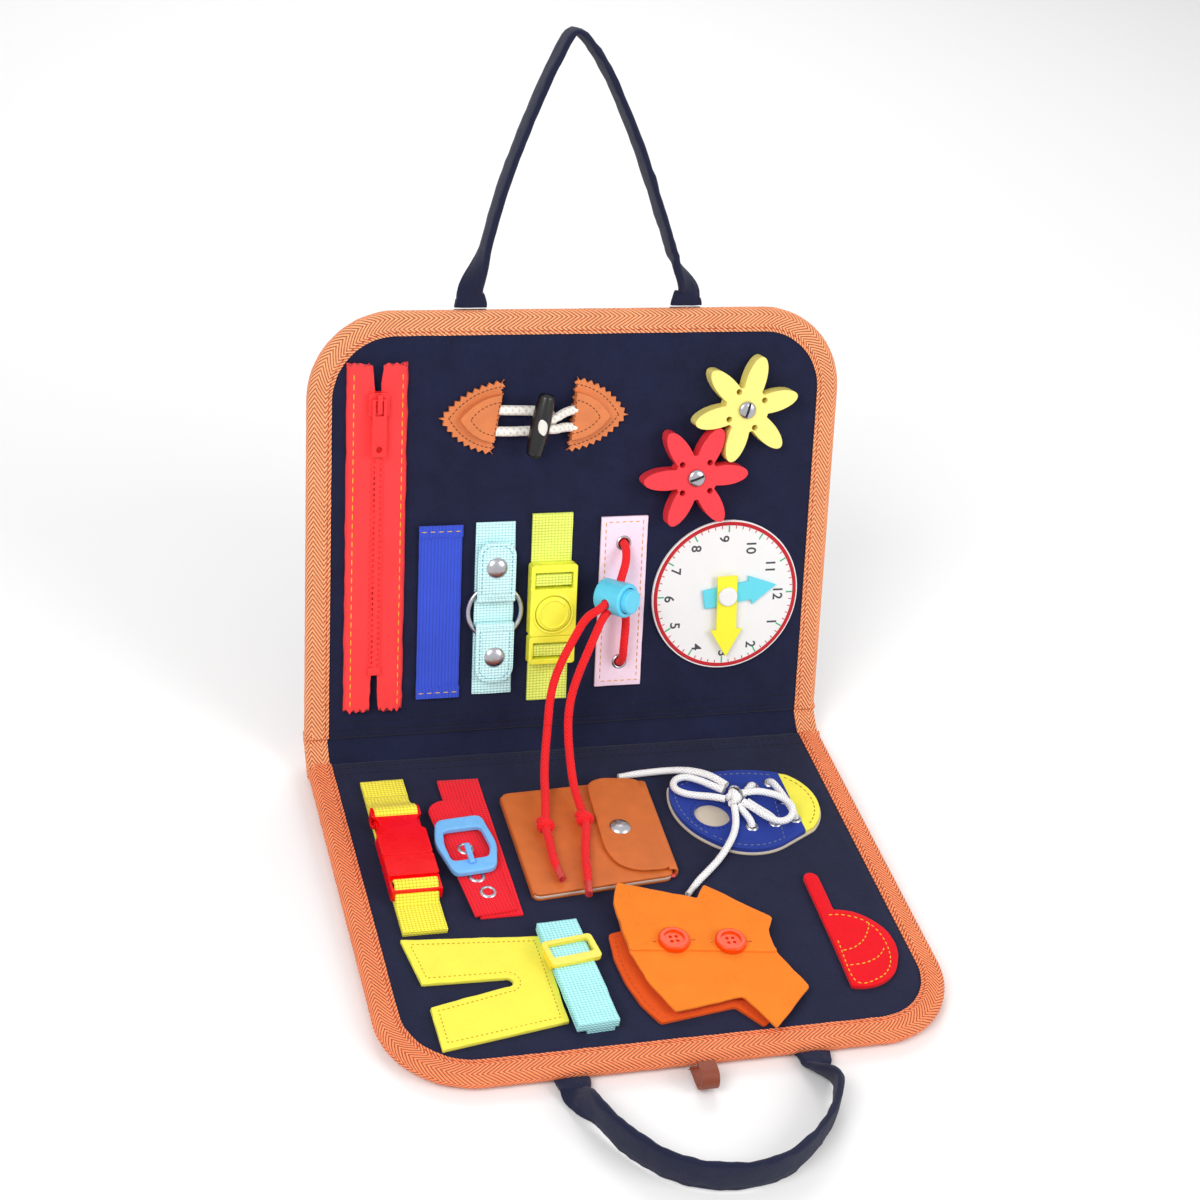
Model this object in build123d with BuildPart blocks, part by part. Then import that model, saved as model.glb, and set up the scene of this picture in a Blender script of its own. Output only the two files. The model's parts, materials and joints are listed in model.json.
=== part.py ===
from build123d import *
from math import cos, radians, sin, tan
import os

# A folding felt busy board. Millimetres, +Z up, X across, +Y towards the fold.
# The lower panel lies on the floor and the upper panel leans back, open.

# ---- case
board_t = 4.0          # stiff board inside each panel
sheet_t = 1.0          # felt sheet on each side of the board
corner_r = 40.0        # outer corners of a panel
binding_w = 10.5       # tape that shows along a panel's edge
binding_wall = 1.2     # tape thickness outside the board
binding_rise = 0.6     # tape that stands above the felt
spine_w = 13.3         # between the two creases
spine_t = 2.4
crease_gap = 0.4       # between the spine's round edge and a panel
crease_turn = 35.4     # open angle at each crease

# ---- handles and closing tab
strap_w = 15.0
strap_t = 3.0
strap_gap = 0.4        # between a panel's edge and what hangs on it
foot_l = 8.0           # flat stretch before a handle's quarter turn
tab_l = 28.0           # handle tab sewn into the back sheet
tab_gap = 0.2
upper_feet = (-53.0, 50.0)
lower_feet = (-52.0, 54.0)
closure_w = 8.0
closure_t = 1.6
closure_l = 9.0        # flat stretch before the curl
closure_curl_r = 4.3
closure_x = 3.0

# ---- row of toys on the upper panel, from left to right
zip_gap = 7.0
zip_w = 28.0
toy_gap = 6.6
elastic_w = 20.5
ring_strap_w = 19.0
push_w = 22.5
lacing_gap = 12.7
lacing_w = 23.0
dial_gap = 4.0
dial_d = 74.5
edge_gap = 4.0
webbing_t = 1.2

# ---- zip
zip_start = 14.0
zip_beyond_teeth = 24.0
zip_hem_w = 5.0
zip_rise = 2.2         # below the tape's free edge
zip_tape_t = 0.8
zip_slit = 1.2         # half of the gap between the tapes
teeth_start = 37.0
teeth_length = 120.0
tooth_pitch = 2.6
tooth_reach = 2.8
tooth_h = 2.4
core_w = 2.2
zip_stop = (6.0, 4.0, 3.1)
slider_w = 9.6
slider_l = 11.0
slider_plate_t = 1.0
slider_gap = 0.3       # around what passes through the slider
teeth_in_slider = 0.8
pull_l = 26.0
pull_w = 6.6
pull_t = 1.2
pull_rail_w = 1.4
bridge_w = 2.0
bridge_t = 0.8

# ---- elastic band
elastic_start = 19.0
elastic_length = 84.4
elastic_t = 1.6

# ---- ring strap with two snap flaps
ring_strap_start = 19.7
ring_strap_l = 84.3
ring_reach = 61.0
ring_outer_r = 14.0
ring_wire_d = 2.2
ring_gap = 0.3
flap_inner = 5.3       # from the ring's centre to a flap's fold
flap_l = 29.1
flap_hem = 0.3         # a flap is this much narrower on each side
snap_at = 21.9
snap_r = 5.0
snap_t = 1.6
snap_stem_r = 1.2
snap_stud_r = 2.0

# ---- push-button buckle
push_strap_w = 19.5
push_seam_start = 15.0
push_seam_end = 107.3
push_joint = 49.0      # where the plug meets the socket
push_socket_l = 35.0
push_plug_l = 13.7
push_body_t = 6.0
push_wall = 1.4
push_cavity_l = 21.0
push_tongue_l = 20.0
push_tongue_t = 1.2
push_side_wall = 3.05
push_slide_gap = 0.3
push_button_r = 8.5
push_button_h = 2.3
push_button_at = 11.0
push_travel = 1.5
strap_pass = 2.8       # slot that the webbing goes through
strap_bar = 2.4        # bar that the webbing goes round

# ---- lacing strip, cord and cord lock
lacing_start = 20.0
lacing_length = 84.5
lacing_t = 1.5
lacing_eyelets = ((-0.2, 91.5), (0.3, 32.3))
lacing_hole_r = 2.3
lacing_flange_r = 3.75
flange_t = 0.6
barrel_t = 0.6
cord_d = 4.0
lock_center = (16.5, 68.5, 14.0)   # across, from the crease, above the felt
lock_tilt = 55.0
lock_r = 8.25
lock_l = 15.0
lock_button_r = 5.9
lock_button_l = 5.0
lock_button_out = 3.0
lock_gap = 0.4
lock_pocket = 5.2
strand_gap = 0.3
strand_half = 2.3
knot_r = 4.2
knot_l = 8.0
aglet_l = 15.0

# ---- toggle
toggle_shift = 15.8    # right of the ring strap
toggle_from_edge = 50.0
patch_t = 1.6
patch_top_t = 1.2
toggle_cord_d = 4.6
horn_r = 4.6
horn_end_r = 3.7
horn_l = 30.0
horn_turn = -10.8
horn_gap = 0.4

# ---- clock
dial_t = 1.6
hand_t = 1.2
hand_gap = 0.3
long_hand = (30.7, 10.0, 10.0, 8.0, -88.0)   # tip, tail, width, half of its arrow, angle
short_hand = (26.0, 11.5, 9.5, 7.4, 9.7)
arrow_l = 13.7
dial_rivet_r = 4.75
dial_pin_r = 2.0

# ---- side-release buckle on the lower panel
clip_strap_w = 20.0
clip_start = 18.3
clip_end = 118.0
clip_socket_start = 44.4
clip_socket_l = 32.0
clip_w = 22.8
clip_t = 7.0
clip_wall = 1.4
clip_rail = 0.9
clip_end_wall = 3.6
clip_window_start = 4.6
clip_window_l = 13.0
clip_arm_w = 2.6
clip_arm_l = 26.5
clip_guide_w = 4.0
clip_guide_l = 15.0
clip_gap = 0.3
clip_plug_l = 13.3
clip_ladder_l = 8.4

# ---- belt
belt_x_from_edge = 56.75
belt_w = 19.5
belt_start = 20.0
belt_length = 92.0
belt_turn = 5.4        # the tongue lies askew on the sewn strap
belt_tongue_l = 76.0
belt_frame_t = 3.1
prong_r = 0.9
prong_w = 2.4
prong_l = 11.5
belt_eyelet_r = 3.9
belt_hole_r = 2.3

# ---- wallet
wallet_t = 4.0
wallet_flap_t = 1.2
wallet_gap = 0.6
wallet_pin = 36.4      # from the wallet's middle to the flap's fold

# ---- shoe
shoe_from_edge = 47.5
shoe_reach = 58.0
shoe_base_t = 1.2
shoe_upper_t = 2.2
shoe_eyelet_r = 3.2
shoe_hole_r = 1.75
lace_d = 3.4

# ---- trousers, shirt and cap
pants_from_edge = 40.5
pants_from_end = 49.0
pants_t = 2.0
pants_belt_w = 18.4
pants_belt_l = 61.0
pants_belt_turn = 2.8
pants_slider_t = 2.0
shirt_middle = 14.0
shirt_from_end = 55.0
shirt_back_t = 1.6
shirt_front_rise = 4.0
shirt_front_t = 2.0
shirt_button_r = 7.0
shirt_button_t = 2.6
cap_from_edge = 25.5
cap_from_end = 59.0
cap_t = 2.2

# ---- sizes that follow
panel_t = board_t + 2 * sheet_t
crease_clear = spine_t / 2 + crease_gap
row_of_toys = (
    zip_gap, zip_w, toy_gap, elastic_w, toy_gap, ring_strap_w, toy_gap,
    push_w, lacing_gap, lacing_w, dial_gap, dial_d, edge_gap,
)
panel_w = sum(row_of_toys) + 2 * binding_w
left_edge = -panel_w / 2 + binding_w
right_edge = panel_w / 2 - binding_w
zip_x = left_edge + zip_gap + zip_w / 2
elastic_x = zip_x + (zip_w + elastic_w) / 2 + toy_gap
ring_x = elastic_x + (elastic_w + ring_strap_w) / 2 + toy_gap
push_x = ring_x + (ring_strap_w + push_w) / 2 + toy_gap
lacing_x = push_x + (push_w + lacing_w) / 2 + lacing_gap
dial_x = lacing_x + (lacing_w + dial_d) / 2 + dial_gap

# ---- gears beside the dial, which set the panel's height
gear_tip_r = 26.0
gear_hub_r = 10.8
gear_mesh_gap = 3.0
petal_count = 6
petal_r = 14.0         # where a petal's middle stands
petal_half_w = 4.9
gear_t = 7.6
gear_rise = 1.2
gear_hole_r = 1.45
gear_hole_ring = 9.7
gear_hole_turns = (48.0, 27.0)
axle_r = 2.0
axle_gap = 0.25
rivet_r = 4.15
rivet_t = 1.6
dial_reach = 63.4
dial_gear_gap = 0.95
red_gear_at = 109.0    # seen from the dial's centre
yellow_gear_at = 54.0  # seen from the red gear
petal_phase = 9.5
gear_margin = 20.7     # between the yellow gear and the panel's edge
dial_to_gear = dial_d / 2 + dial_gear_gap + gear_tip_r
gear_spacing = gear_tip_r + gear_hub_r + gear_mesh_gap
red_x = dial_x + dial_to_gear * cos(radians(red_gear_at))
red_reach = dial_reach + dial_to_gear * sin(radians(red_gear_at))
yellow_x = red_x + gear_spacing * cos(radians(yellow_gear_at))
yellow_reach = red_reach + gear_spacing * sin(radians(yellow_gear_at))
panel_h = yellow_reach + gear_tip_r + gear_margin

# ---- the two faces of felt: each has its origin above its crease axis
lower_axis = Vector(0, panel_h / 2, panel_t / 2)
spine_dir = Vector(0, cos(radians(crease_turn)), sin(radians(crease_turn)))
upper_axis = lower_axis + spine_dir * spine_w
lean = Vector(0, cos(radians(2 * crease_turn)), sin(radians(2 * crease_turn)))
front = Vector(0, -lean.Z, lean.Y)
across = Vector(1, 0, 0)
lower_face = Plane(origin=lower_axis + Vector(0, 0, panel_t / 2), x_dir=across, z_dir=(0, 0, 1))
upper_face = Plane(origin=upper_axis + front * (panel_t / 2), x_dir=across, z_dir=front)


def spot(face, x, reach, height=0.0, turn=0.0):
    """A plane on a panel's felt. Reach is the distance from the crease, and local y points
    away from the crease on the upper panel and towards it on the lower one."""
    side = 1 if face is upper_face else -1
    return Plane(face.location * Location((x, side * reach, height), (0, 0, turn)))


def outward(face, height):
    """A plane on the middle of a panel whose y points away from the crease."""
    return spot(face, 0, 0, height, 0 if face is upper_face else 180)


def crosswise(face, x, reach, height=0.0):
    """A plane that cuts across a panel: x points as the panel's local y, y away from the felt."""
    place = spot(face, x, reach, height)
    return Plane(origin=place.origin, x_dir=place.y_dir, z_dir=across)


def slab(plane, width, length, thickness, corner=0.0, mode=Mode.ADD):
    """A flat rectangular piece that stands on a plane."""
    with BuildSketch(plane) as shape:
        Rectangle(width, length)
        if corner:
            fillet(shape.vertices(), corner)
    extrude(shape.sketch, amount=thickness, mode=mode)


def disc(plane, radius, thickness, hole=0.0, mode=Mode.ADD):
    """A round piece that stands on a plane, with an optional hole."""
    with BuildSketch(plane) as shape:
        Circle(radius)
        if hole:
            Circle(hole, mode=Mode.SUBTRACT)
    extrude(shape.sketch, amount=thickness, mode=mode)


def sheet(plane, corners, thickness, corner=0.0, mode=Mode.ADD):
    """A flat piece cut to an outline of straight sides, its corners rounded on request."""
    with BuildSketch(plane) as shape:
        with BuildLine():
            Polyline(*corners, close=True)
        make_face()
        if corner:
            fillet(shape.vertices(), corner)
    extrude(shape.sketch, amount=thickness, mode=mode)


def bend_radii(points):
    """One radius for each inner point of a route, as large as its two runs allow."""
    route = [Vector(*point) for point in points]
    radii = []
    for before, here, after in zip(route, route[1:], route[2:]):
        half_turn = (here - before).get_angle(after - here) / 2
        shorter = min((here - before).length, (after - here).length)
        radii.append(0.45 * shorter / tan(radians(half_turn)))
    return radii


def cord(name, points, thickness):
    """A round cord along straight runs joined by tangent arcs."""
    radii = bend_radii(points)
    with BuildLine() as route:
        FilletPolyline(*points, radius=radii)
    path = route.wires()[0]
    with BuildSketch(Plane(origin=path @ 0, z_dir=path % 0)) as section:
        Circle(thickness / 2)
    sweep(section.sketch, path=path)
    print(name, "length", round(path.length, 1), "radii", [round(radius, 1) for radius in radii])


# ================================================================ case

def panel_outline(face, height, inset):
    """A panel's outline: square at the crease, round at its two outer corners."""
    with BuildSketch(outward(face, height)) as outline:
        with Locations((0, crease_clear)):
            Rectangle(
                panel_w - 2 * inset,
                panel_h - inset - crease_clear,
                align=(Align.CENTER, Align.MIN),
            )
        fillet(outline.vertices().group_by(Axis.Y)[-1], corner_r - inset)
    return outline.sketch


def handle_tabs(face, feet, room, mode=Mode.ADD):
    """The two handle tabs in a panel's back, or with room around them, their places."""
    for foot in feet:
        place = spot(face, foot, panel_h - (tab_l + room) / 2, -panel_t)
        slab(place, strap_w + 2 * room, tab_l + room, sheet_t, mode=mode)


def make_board(face):
    with BuildPart() as board:
        extrude(panel_outline(face, -panel_t + sheet_t, binding_wall), amount=board_t)
    return board


def make_cover(face, feet):
    """The two felt sheets of a panel and the ends of its handle."""
    with BuildPart() as cover:
        extrude(panel_outline(face, -sheet_t, binding_w), amount=sheet_t)
        extrude(panel_outline(face, -panel_t, binding_w), amount=sheet_t)
        handle_tabs(face, feet, tab_gap, mode=Mode.SUBTRACT)
        handle_tabs(face, feet, 0.0)
    return cover


def make_binding(face, feet, board):
    """The tape that wraps a panel's three outer edges."""
    with BuildPart() as binding:
        height = panel_t + binding_rise
        extrude(panel_outline(face, -panel_t, 0.0), amount=height)
        extrude(panel_outline(face, -panel_t, binding_w), amount=height, mode=Mode.SUBTRACT)
        add(board.part, mode=Mode.SUBTRACT)
        handle_tabs(face, feet, tab_gap, mode=Mode.SUBTRACT)
    return binding


lower_board = make_board(lower_face)
upper_board = make_board(upper_face)
lower_cover = make_cover(lower_face, lower_feet)
upper_cover = make_cover(upper_face, upper_feet)
lower_binding = make_binding(lower_face, lower_feet, lower_board)
upper_binding = make_binding(upper_face, upper_feet, upper_board)

# The spine: felt in the middle and a piece of the binding at each end.
spine_middle = lower_axis + spine_dir * (spine_w / 2)
spine_plane = Plane(origin=spine_middle, x_dir=spine_dir, z_dir=across)


def spine_stretch(middle, length):
    with BuildPart() as stretch:
        with BuildSketch(spine_plane.offset(middle)) as section:
            SlotCenterToCenter(spine_w, spine_t)
        extrude(section.sketch, amount=length / 2, both=True)
    return stretch.part


spine_end_x = (panel_w - binding_w) / 2
spine = Compound(
    children=[
        spine_stretch(0, panel_w - 2 * binding_w),
        spine_stretch(-spine_end_x, binding_w),
        spine_stretch(spine_end_x, binding_w),
    ]
)

# ---- handles: a flat foot with a round end, a quarter turn, and a loop that stands on edge
foot_reach = panel_h + strap_gap + strap_t / 2
foot_height = -panel_t + strap_t / 2


def quarter_turn(face, foot, loop_start, loop_next, loop_height):
    """A strap's quarter turn, from its flat foot to the loop on its edge."""
    start = spot(face, foot, foot_reach + foot_l, foot_height)
    away = start.y_dir if face is upper_face else start.y_dir * -1
    finish = spot(face, *loop_start, loop_height).origin
    into = (spot(face, *loop_next, loop_height).origin - finish).normalized()
    sections = []
    for share in (0, 1 / 3, 2 / 3, 1):
        heading = (away * (1 - share) + into * share).normalized()
        middle = start.origin + (finish - start.origin) * share
        plane = Plane(origin=middle, x_dir=heading.cross(start.z_dir), z_dir=heading)
        with BuildSketch(plane) as section:
            Rectangle(strap_w, strap_t, rotation=90 * share)
        sections.append(section.sketch)
    loft(sections, ruled=True)


def make_handle(face, feet, loop, loop_height):
    """A soft strap between two feet. The loop lists places across and from the crease."""
    with BuildPart() as strap:
        for foot, start, follow in ((feet[0], loop[0], loop[1]), (feet[1], loop[-1], loop[-2])):
            bead = crosswise(face, foot, foot_reach, foot_height)
            with BuildSketch(bead) as bead_section:
                Circle(strap_t / 2)
            extrude(bead_section.sketch, amount=strap_w / 2, both=True)
            flat = spot(face, foot, foot_reach + foot_l / 2, foot_height - strap_t / 2)
            slab(flat, strap_w, foot_l, strap_t)
            quarter_turn(face, foot, start, follow, loop_height)
        side = 1 if face is upper_face else -1
        with BuildSketch(spot(face, 0, 0, loop_height - strap_w / 2)) as ribbon:
            route = [(x, side * reach) for x, reach in loop]
            with BuildLine():
                FilletPolyline(*route, radius=bend_radii(route))
            trace(line_width=strap_t)
        extrude(ribbon.sketch, amount=strap_w)
    return strap


handle_lift = foot_reach + foot_l + 2 * strap_t   # where the loops start, from the crease
upper_loop = (
    (-48.2, handle_lift + 7.7), (-41.3, handle_lift + 34.4), (-33.8, handle_lift + 56.4),
    (-26.2, handle_lift + 75.6), (-17.8, handle_lift + 94.6), (-9.2, handle_lift + 108.1),
    (2.2, handle_lift + 97.6), (12.3, handle_lift + 80.5), (22.7, handle_lift + 58.7),
    (31.4, handle_lift + 37.4), (39.2, handle_lift + 16.6), (43.0, handle_lift + 6.4),
)
lower_loop = (
    (-49.0, handle_lift + 6.0), (-41.5, handle_lift + 22.0), (-31.0, handle_lift + 35.4),
    (-19.5, handle_lift + 43.5), (-5.0, handle_lift + 47.7), (9.0, handle_lift + 48.3),
    (23.5, handle_lift + 44.1), (37.0, handle_lift + 34.6), (49.0, handle_lift + 22.0),
    (56.0, handle_lift + 6.5),
)
upper_handle = make_handle(upper_face, upper_feet, upper_loop, foot_height)
lower_handle = make_handle(lower_face, lower_feet, lower_loop, -panel_t + strap_w / 2)

# ---- closing tab: a leather ribbon that curls back over itself
closure_reach = panel_h + strap_gap + closure_t / 2
closure_place = spot(lower_face, closure_x, closure_reach, -panel_t + closure_t / 2)
with BuildPart() as closure_tab:
    closure_side = Plane(origin=closure_place.origin, x_dir=(0, -1, 0), z_dir=(-1, 0, 0))
    with BuildSketch(closure_side) as closure_profile:
        with BuildLine():
            Line((0, 0), (closure_l, 0))
            CenterArc((closure_l, closure_curl_r), closure_curl_r, -90, 180)
            Line((closure_l, 2 * closure_curl_r), (closure_l / 2, 2 * closure_curl_r))
        trace(line_width=closure_t)
        Circle(closure_t / 2)
    extrude(closure_profile.sketch, amount=closure_w / 2, both=True)

# ================================================================ zip

teeth_end = teeth_start + teeth_length
zip_length = teeth_end + zip_beyond_teeth - zip_start
zip_middle = zip_start + zip_length / 2
zip_tape_top = zip_rise + zip_tape_t
teeth_middle = teeth_start + teeth_length / 2
teeth_z = zip_rise + zip_tape_t / 2 - tooth_h / 2
slider_reach = teeth_end + slider_l / 2 - teeth_in_slider

with BuildPart() as zip_tapes:
    for side in (-1, 1):
        hem_x = zip_x + side * (zip_w - zip_hem_w) / 2
        slab(spot(upper_face, hem_x, zip_middle), zip_hem_w, zip_length, zip_tape_top)
        web_w = zip_w / 2 - zip_hem_w - zip_slit
        web_x = zip_x + side * (zip_slit + web_w / 2)
        slab(spot(upper_face, web_x, zip_middle, zip_rise), web_w, zip_length, zip_tape_t)

with BuildPart() as zip_teeth:
    tooth_count = int(teeth_length / tooth_pitch)
    with BuildSketch(spot(upper_face, zip_x, teeth_middle, teeth_z)) as comb:
        Rectangle(core_w, teeth_length)
        for side in (-1, 1):
            with Locations((side * tooth_reach / 2, side * tooth_pitch / 4)):
                with GridLocations(1, tooth_pitch, 1, tooth_count):
                    Rectangle(tooth_reach, tooth_pitch / 2)
    extrude(comb.sketch, amount=tooth_h)
    stop_w, stop_l, stop_t = zip_stop
    stop_reach = teeth_start - stop_l / 2
    stop_z = teeth_z - (stop_t - tooth_h) / 2
    slab(spot(upper_face, zip_x, stop_reach, stop_z), stop_w, stop_l, stop_t)
    for side in (-1, 1):
        slot_x = zip_x + side * (core_w / 2 + zip_w / 4)
        slot_z = zip_rise - slider_gap / 3
        slot_t = zip_tape_t + 2 * slider_gap / 3
        place = spot(upper_face, slot_x, teeth_middle, slot_z)
        slab(place, zip_w / 2, zip_length, slot_t, mode=Mode.SUBTRACT)

# The slider: two plates joined by a post between the tapes, with a bridge for the pull.
slider_top = teeth_z + tooth_h + slider_gap
slider_bottom = teeth_z - slider_gap - slider_plate_t
flange_w = slider_w / 2 - tooth_reach - slider_gap - 0.8
with BuildPart() as zip_slider:
    top_plate = spot(upper_face, zip_x, slider_reach, slider_top)
    slab(top_plate, slider_w, slider_l, slider_plate_t, corner=1.5)
    slab(spot(upper_face, zip_x, slider_reach, slider_bottom), slider_w, slider_l, slider_plate_t)
    flange_x = (slider_w - flange_w) / 2
    for side in (-1, 1):
        low_z = slider_bottom + slider_plate_t
        low_flange = spot(upper_face, zip_x + side * flange_x, slider_reach, low_z)
        slab(low_flange, flange_w, slider_l, zip_rise - slider_gap - low_z)
        high_z = zip_tape_top + slider_gap
        high_flange = spot(upper_face, zip_x + side * flange_x, slider_reach, high_z)
        slab(high_flange, flange_w, slider_l - 3.0, slider_top - high_z)
    post_l = slider_l * 0.35
    post_reach = slider_reach + slider_l / 2 - post_l / 2 - 1.0
    post = spot(upper_face, zip_x, post_reach, slider_bottom)
    slab(post, 2 * (zip_slit - slider_gap), post_l, slider_top - slider_bottom)
    bridge_z = slider_top + slider_plate_t
    bridge_h = pull_t + 2 * slider_gap
    bridge_reach = slider_reach + 0.8
    bridge_l = slider_l - 2.2
    for end in (-1, 1):
        leg_reach = bridge_reach + end * (bridge_l - 1.0) / 2
        slab(spot(upper_face, zip_x, leg_reach, bridge_z), bridge_w, 1.0, bridge_h)
    bridge_bar = spot(upper_face, zip_x, bridge_reach, bridge_z + bridge_h)
    slab(bridge_bar, bridge_w, bridge_l, bridge_t)

# The pull: a bar under the bridge, two rails beside it and a plate.
pull_reach = slider_reach + 2.4
pull_z = bridge_z + bridge_h / 2
with BuildPart() as zip_pull:
    with BuildSketch(crosswise(upper_face, zip_x, pull_reach, pull_z)) as pull_bar:
        Circle(pull_t / 2)
    extrude(pull_bar.sketch, amount=pull_w / 2, both=True)
    rail_l = 7.2
    for side in (-1, 1):
        rail_x = zip_x + side * (pull_w - pull_rail_w) / 2
        rail = spot(upper_face, rail_x, pull_reach - rail_l / 2, pull_z - pull_t / 2)
        slab(rail, pull_rail_w, rail_l, pull_t)
    plate_l = pull_l - rail_l
    plate_reach = pull_reach - rail_l - plate_l / 2
    slab(spot(upper_face, zip_x, plate_reach, pull_z - pull_t / 2), pull_w, plate_l, pull_t)
    hole_reach = pull_reach - pull_l + pull_w / 2
    disc(spot(upper_face, zip_x, hole_reach, pull_z - pull_t), 1.5, 2 * pull_t, mode=Mode.SUBTRACT)

# ================================================================ elastic band and ring toy

with BuildPart() as elastic_band:
    elastic_middle = elastic_start + elastic_length / 2
    slab(spot(upper_face, elastic_x, elastic_middle), elastic_w, elastic_length, elastic_t)

ring_z = webbing_t + ring_gap + ring_wire_d / 2
flap_z = ring_z + ring_wire_d / 2 + ring_gap
snap_socket_t = flap_z - webbing_t - ring_gap - 1.3

with BuildPart() as ring_strap_base:
    base_middle = ring_strap_start + ring_strap_l / 2
    slab(spot(upper_face, ring_x, base_middle), ring_strap_w, ring_strap_l, webbing_t)
ring_sockets = []
for end in (-1, 1):
    with BuildPart() as ring_socket:
        place = spot(upper_face, ring_x, ring_reach + end * snap_at, webbing_t)
        disc(place, snap_r, snap_socket_t, hole=snap_stud_r + ring_gap)
    ring_sockets.append(ring_socket.part)
ring_strap = Compound(children=[ring_strap_base.part] + ring_sockets)

with BuildPart() as metal_ring:
    with BuildSketch(crosswise(upper_face, ring_x, ring_reach, ring_z)) as ring_wire:
        with Locations((ring_outer_r - ring_wire_d / 2, 0)):
            Circle(ring_wire_d / 2)
    ring_center = spot(upper_face, ring_x, ring_reach, ring_z)
    revolve(ring_wire.sketch, axis=Axis(ring_center.origin, ring_center.z_dir))

flap_pin = flap_inner + webbing_t / 2
flap_pin_z = ring_z - 0.5


def make_ring_flap(end):
    """A flap that folds up inside the ring, passes over its wire and snaps down."""
    center = spot(upper_face, ring_x, ring_reach)
    side_view = Plane(origin=center.origin, x_dir=center.y_dir * end, z_dir=across * end)
    with BuildPart() as flap:
        with BuildSketch(side_view) as profile:
            with Locations((flap_pin, flap_pin_z)):
                Circle(webbing_t / 2)
            with Locations((flap_inner, flap_pin_z)):
                rise = flap_z + webbing_t - flap_pin_z
                Rectangle(webbing_t, rise, align=(Align.MIN, Align.MIN))
            with Locations((flap_inner, flap_z)):
                Rectangle(flap_l, webbing_t, align=(Align.MIN, Align.MIN))
        extrude(profile.sketch, amount=ring_strap_w / 2 - flap_hem, both=True)
        hole = spot(upper_face, ring_x, ring_reach + end * snap_at, flap_z)
        disc(hole, snap_stem_r + ring_gap / 3, webbing_t, mode=Mode.SUBTRACT)
    return flap


def make_snap(face, x, reach, bottom, top, stud_t):
    """A snap cap with its stem and stud, through a layer between two heights."""
    with BuildPart() as snap:
        disc(spot(face, x, reach, top), snap_r, snap_t)
        fillet(snap.edges().group_by(SortBy.LENGTH)[-1], 0.7)
        disc(spot(face, x, reach, bottom), snap_stem_r, top - bottom)
        disc(spot(face, x, reach, bottom - stud_t), snap_stud_r, stud_t)
    return snap


ring_flap_upper = make_ring_flap(1)
ring_flap_lower = make_ring_flap(-1)
flap_top = flap_z + webbing_t
ring_snap_upper = make_snap(upper_face, ring_x, ring_reach + snap_at, flap_z, flap_top, 1.0)
ring_snap_lower = make_snap(upper_face, ring_x, ring_reach - snap_at, flap_z, flap_top, 1.0)

# ================================================================ push-button buckle

push_z = webbing_t + 0.4
push_top = push_z + push_body_t
push_hole_w = push_w - 2 * push_side_wall
push_floor = push_z + push_wall - 0.2
push_roof = push_top - push_wall
pocket_w = push_strap_w - 1.5
pocket_l = 2 * strap_pass + strap_bar
socket_pocket = push_joint + push_cavity_l + 2.2 + pocket_l / 2
plug_pocket = push_joint - push_plug_l / 2 - 0.6


def strap_ladder(x, reach):
    """Two slots with a low bar between them, which the webbing goes round."""
    for end in (-1, 1):
        slot_reach = reach + end * (strap_bar + strap_pass) / 2
        slot = spot(upper_face, x, slot_reach, push_z)
        slab(slot, pocket_w + 0.6, strap_pass, push_body_t, mode=Mode.SUBTRACT)
    low_bar = spot(upper_face, x, reach, push_z + push_body_t * 0.55)
    slab(low_bar, pocket_w + 0.6, pocket_l, push_body_t, mode=Mode.SUBTRACT)


def strap_over_bar(x, reach):
    """The webbing that comes up through one slot, over the bar and down the other."""
    bar_top = push_z + push_body_t * 0.55
    for end in (-1, 1):
        leg_reach = reach + end * (strap_bar + webbing_t + 0.4) / 2
        leg = spot(upper_face, x, leg_reach, webbing_t)
        slab(leg, pocket_w, webbing_t, bar_top + 0.2 - webbing_t)
    over = spot(upper_face, x, reach, bar_top + 0.2)
    slab(over, pocket_w, strap_bar + 2 * webbing_t + 0.4, webbing_t)


with BuildPart() as push_buckle_socket:
    socket_middle = push_joint + push_socket_l / 2
    place = spot(upper_face, push_x, socket_middle, push_z)
    slab(place, push_w, push_socket_l, push_body_t, corner=1.5)
    cavity = spot(upper_face, push_x, push_joint + push_cavity_l / 2, push_floor)
    slab(cavity, push_hole_w, push_cavity_l, push_roof - push_floor, mode=Mode.SUBTRACT)
    button_room = push_travel + push_slide_gap
    button_hole = spot(upper_face, push_x, push_joint + push_button_at, push_roof - button_room)
    hole_t = push_wall + button_room
    disc(button_hole, push_button_r + push_slide_gap, hole_t, mode=Mode.SUBTRACT)
    strap_ladder(push_x, socket_pocket)

with BuildPart() as push_buckle_button:
    button_z = push_roof - 0.1
    place = spot(upper_face, push_x, push_joint + push_button_at, button_z)
    disc(place, push_button_r, push_button_h)
    chamfer(push_buckle_button.faces().sort_by(Axis(place.origin, place.z_dir))[-1].edges(), 0.4)

with BuildPart() as push_buckle_plug:
    plug_middle = push_joint - push_slide_gap - push_plug_l / 2
    slab(spot(upper_face, push_x, plug_middle, push_z), push_w, push_plug_l, push_body_t, corner=1.5)
    tongue_w = push_hole_w - 2 * push_slide_gap
    tongue_l = push_tongue_l + push_slide_gap + 1.0
    tongue_middle = push_joint + push_tongue_l - tongue_l / 2
    tongue = spot(upper_face, push_x, tongue_middle, push_floor + push_slide_gap)
    slab(tongue, tongue_w, tongue_l, push_tongue_t)
    strap_ladder(push_x, plug_pocket)

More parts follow.
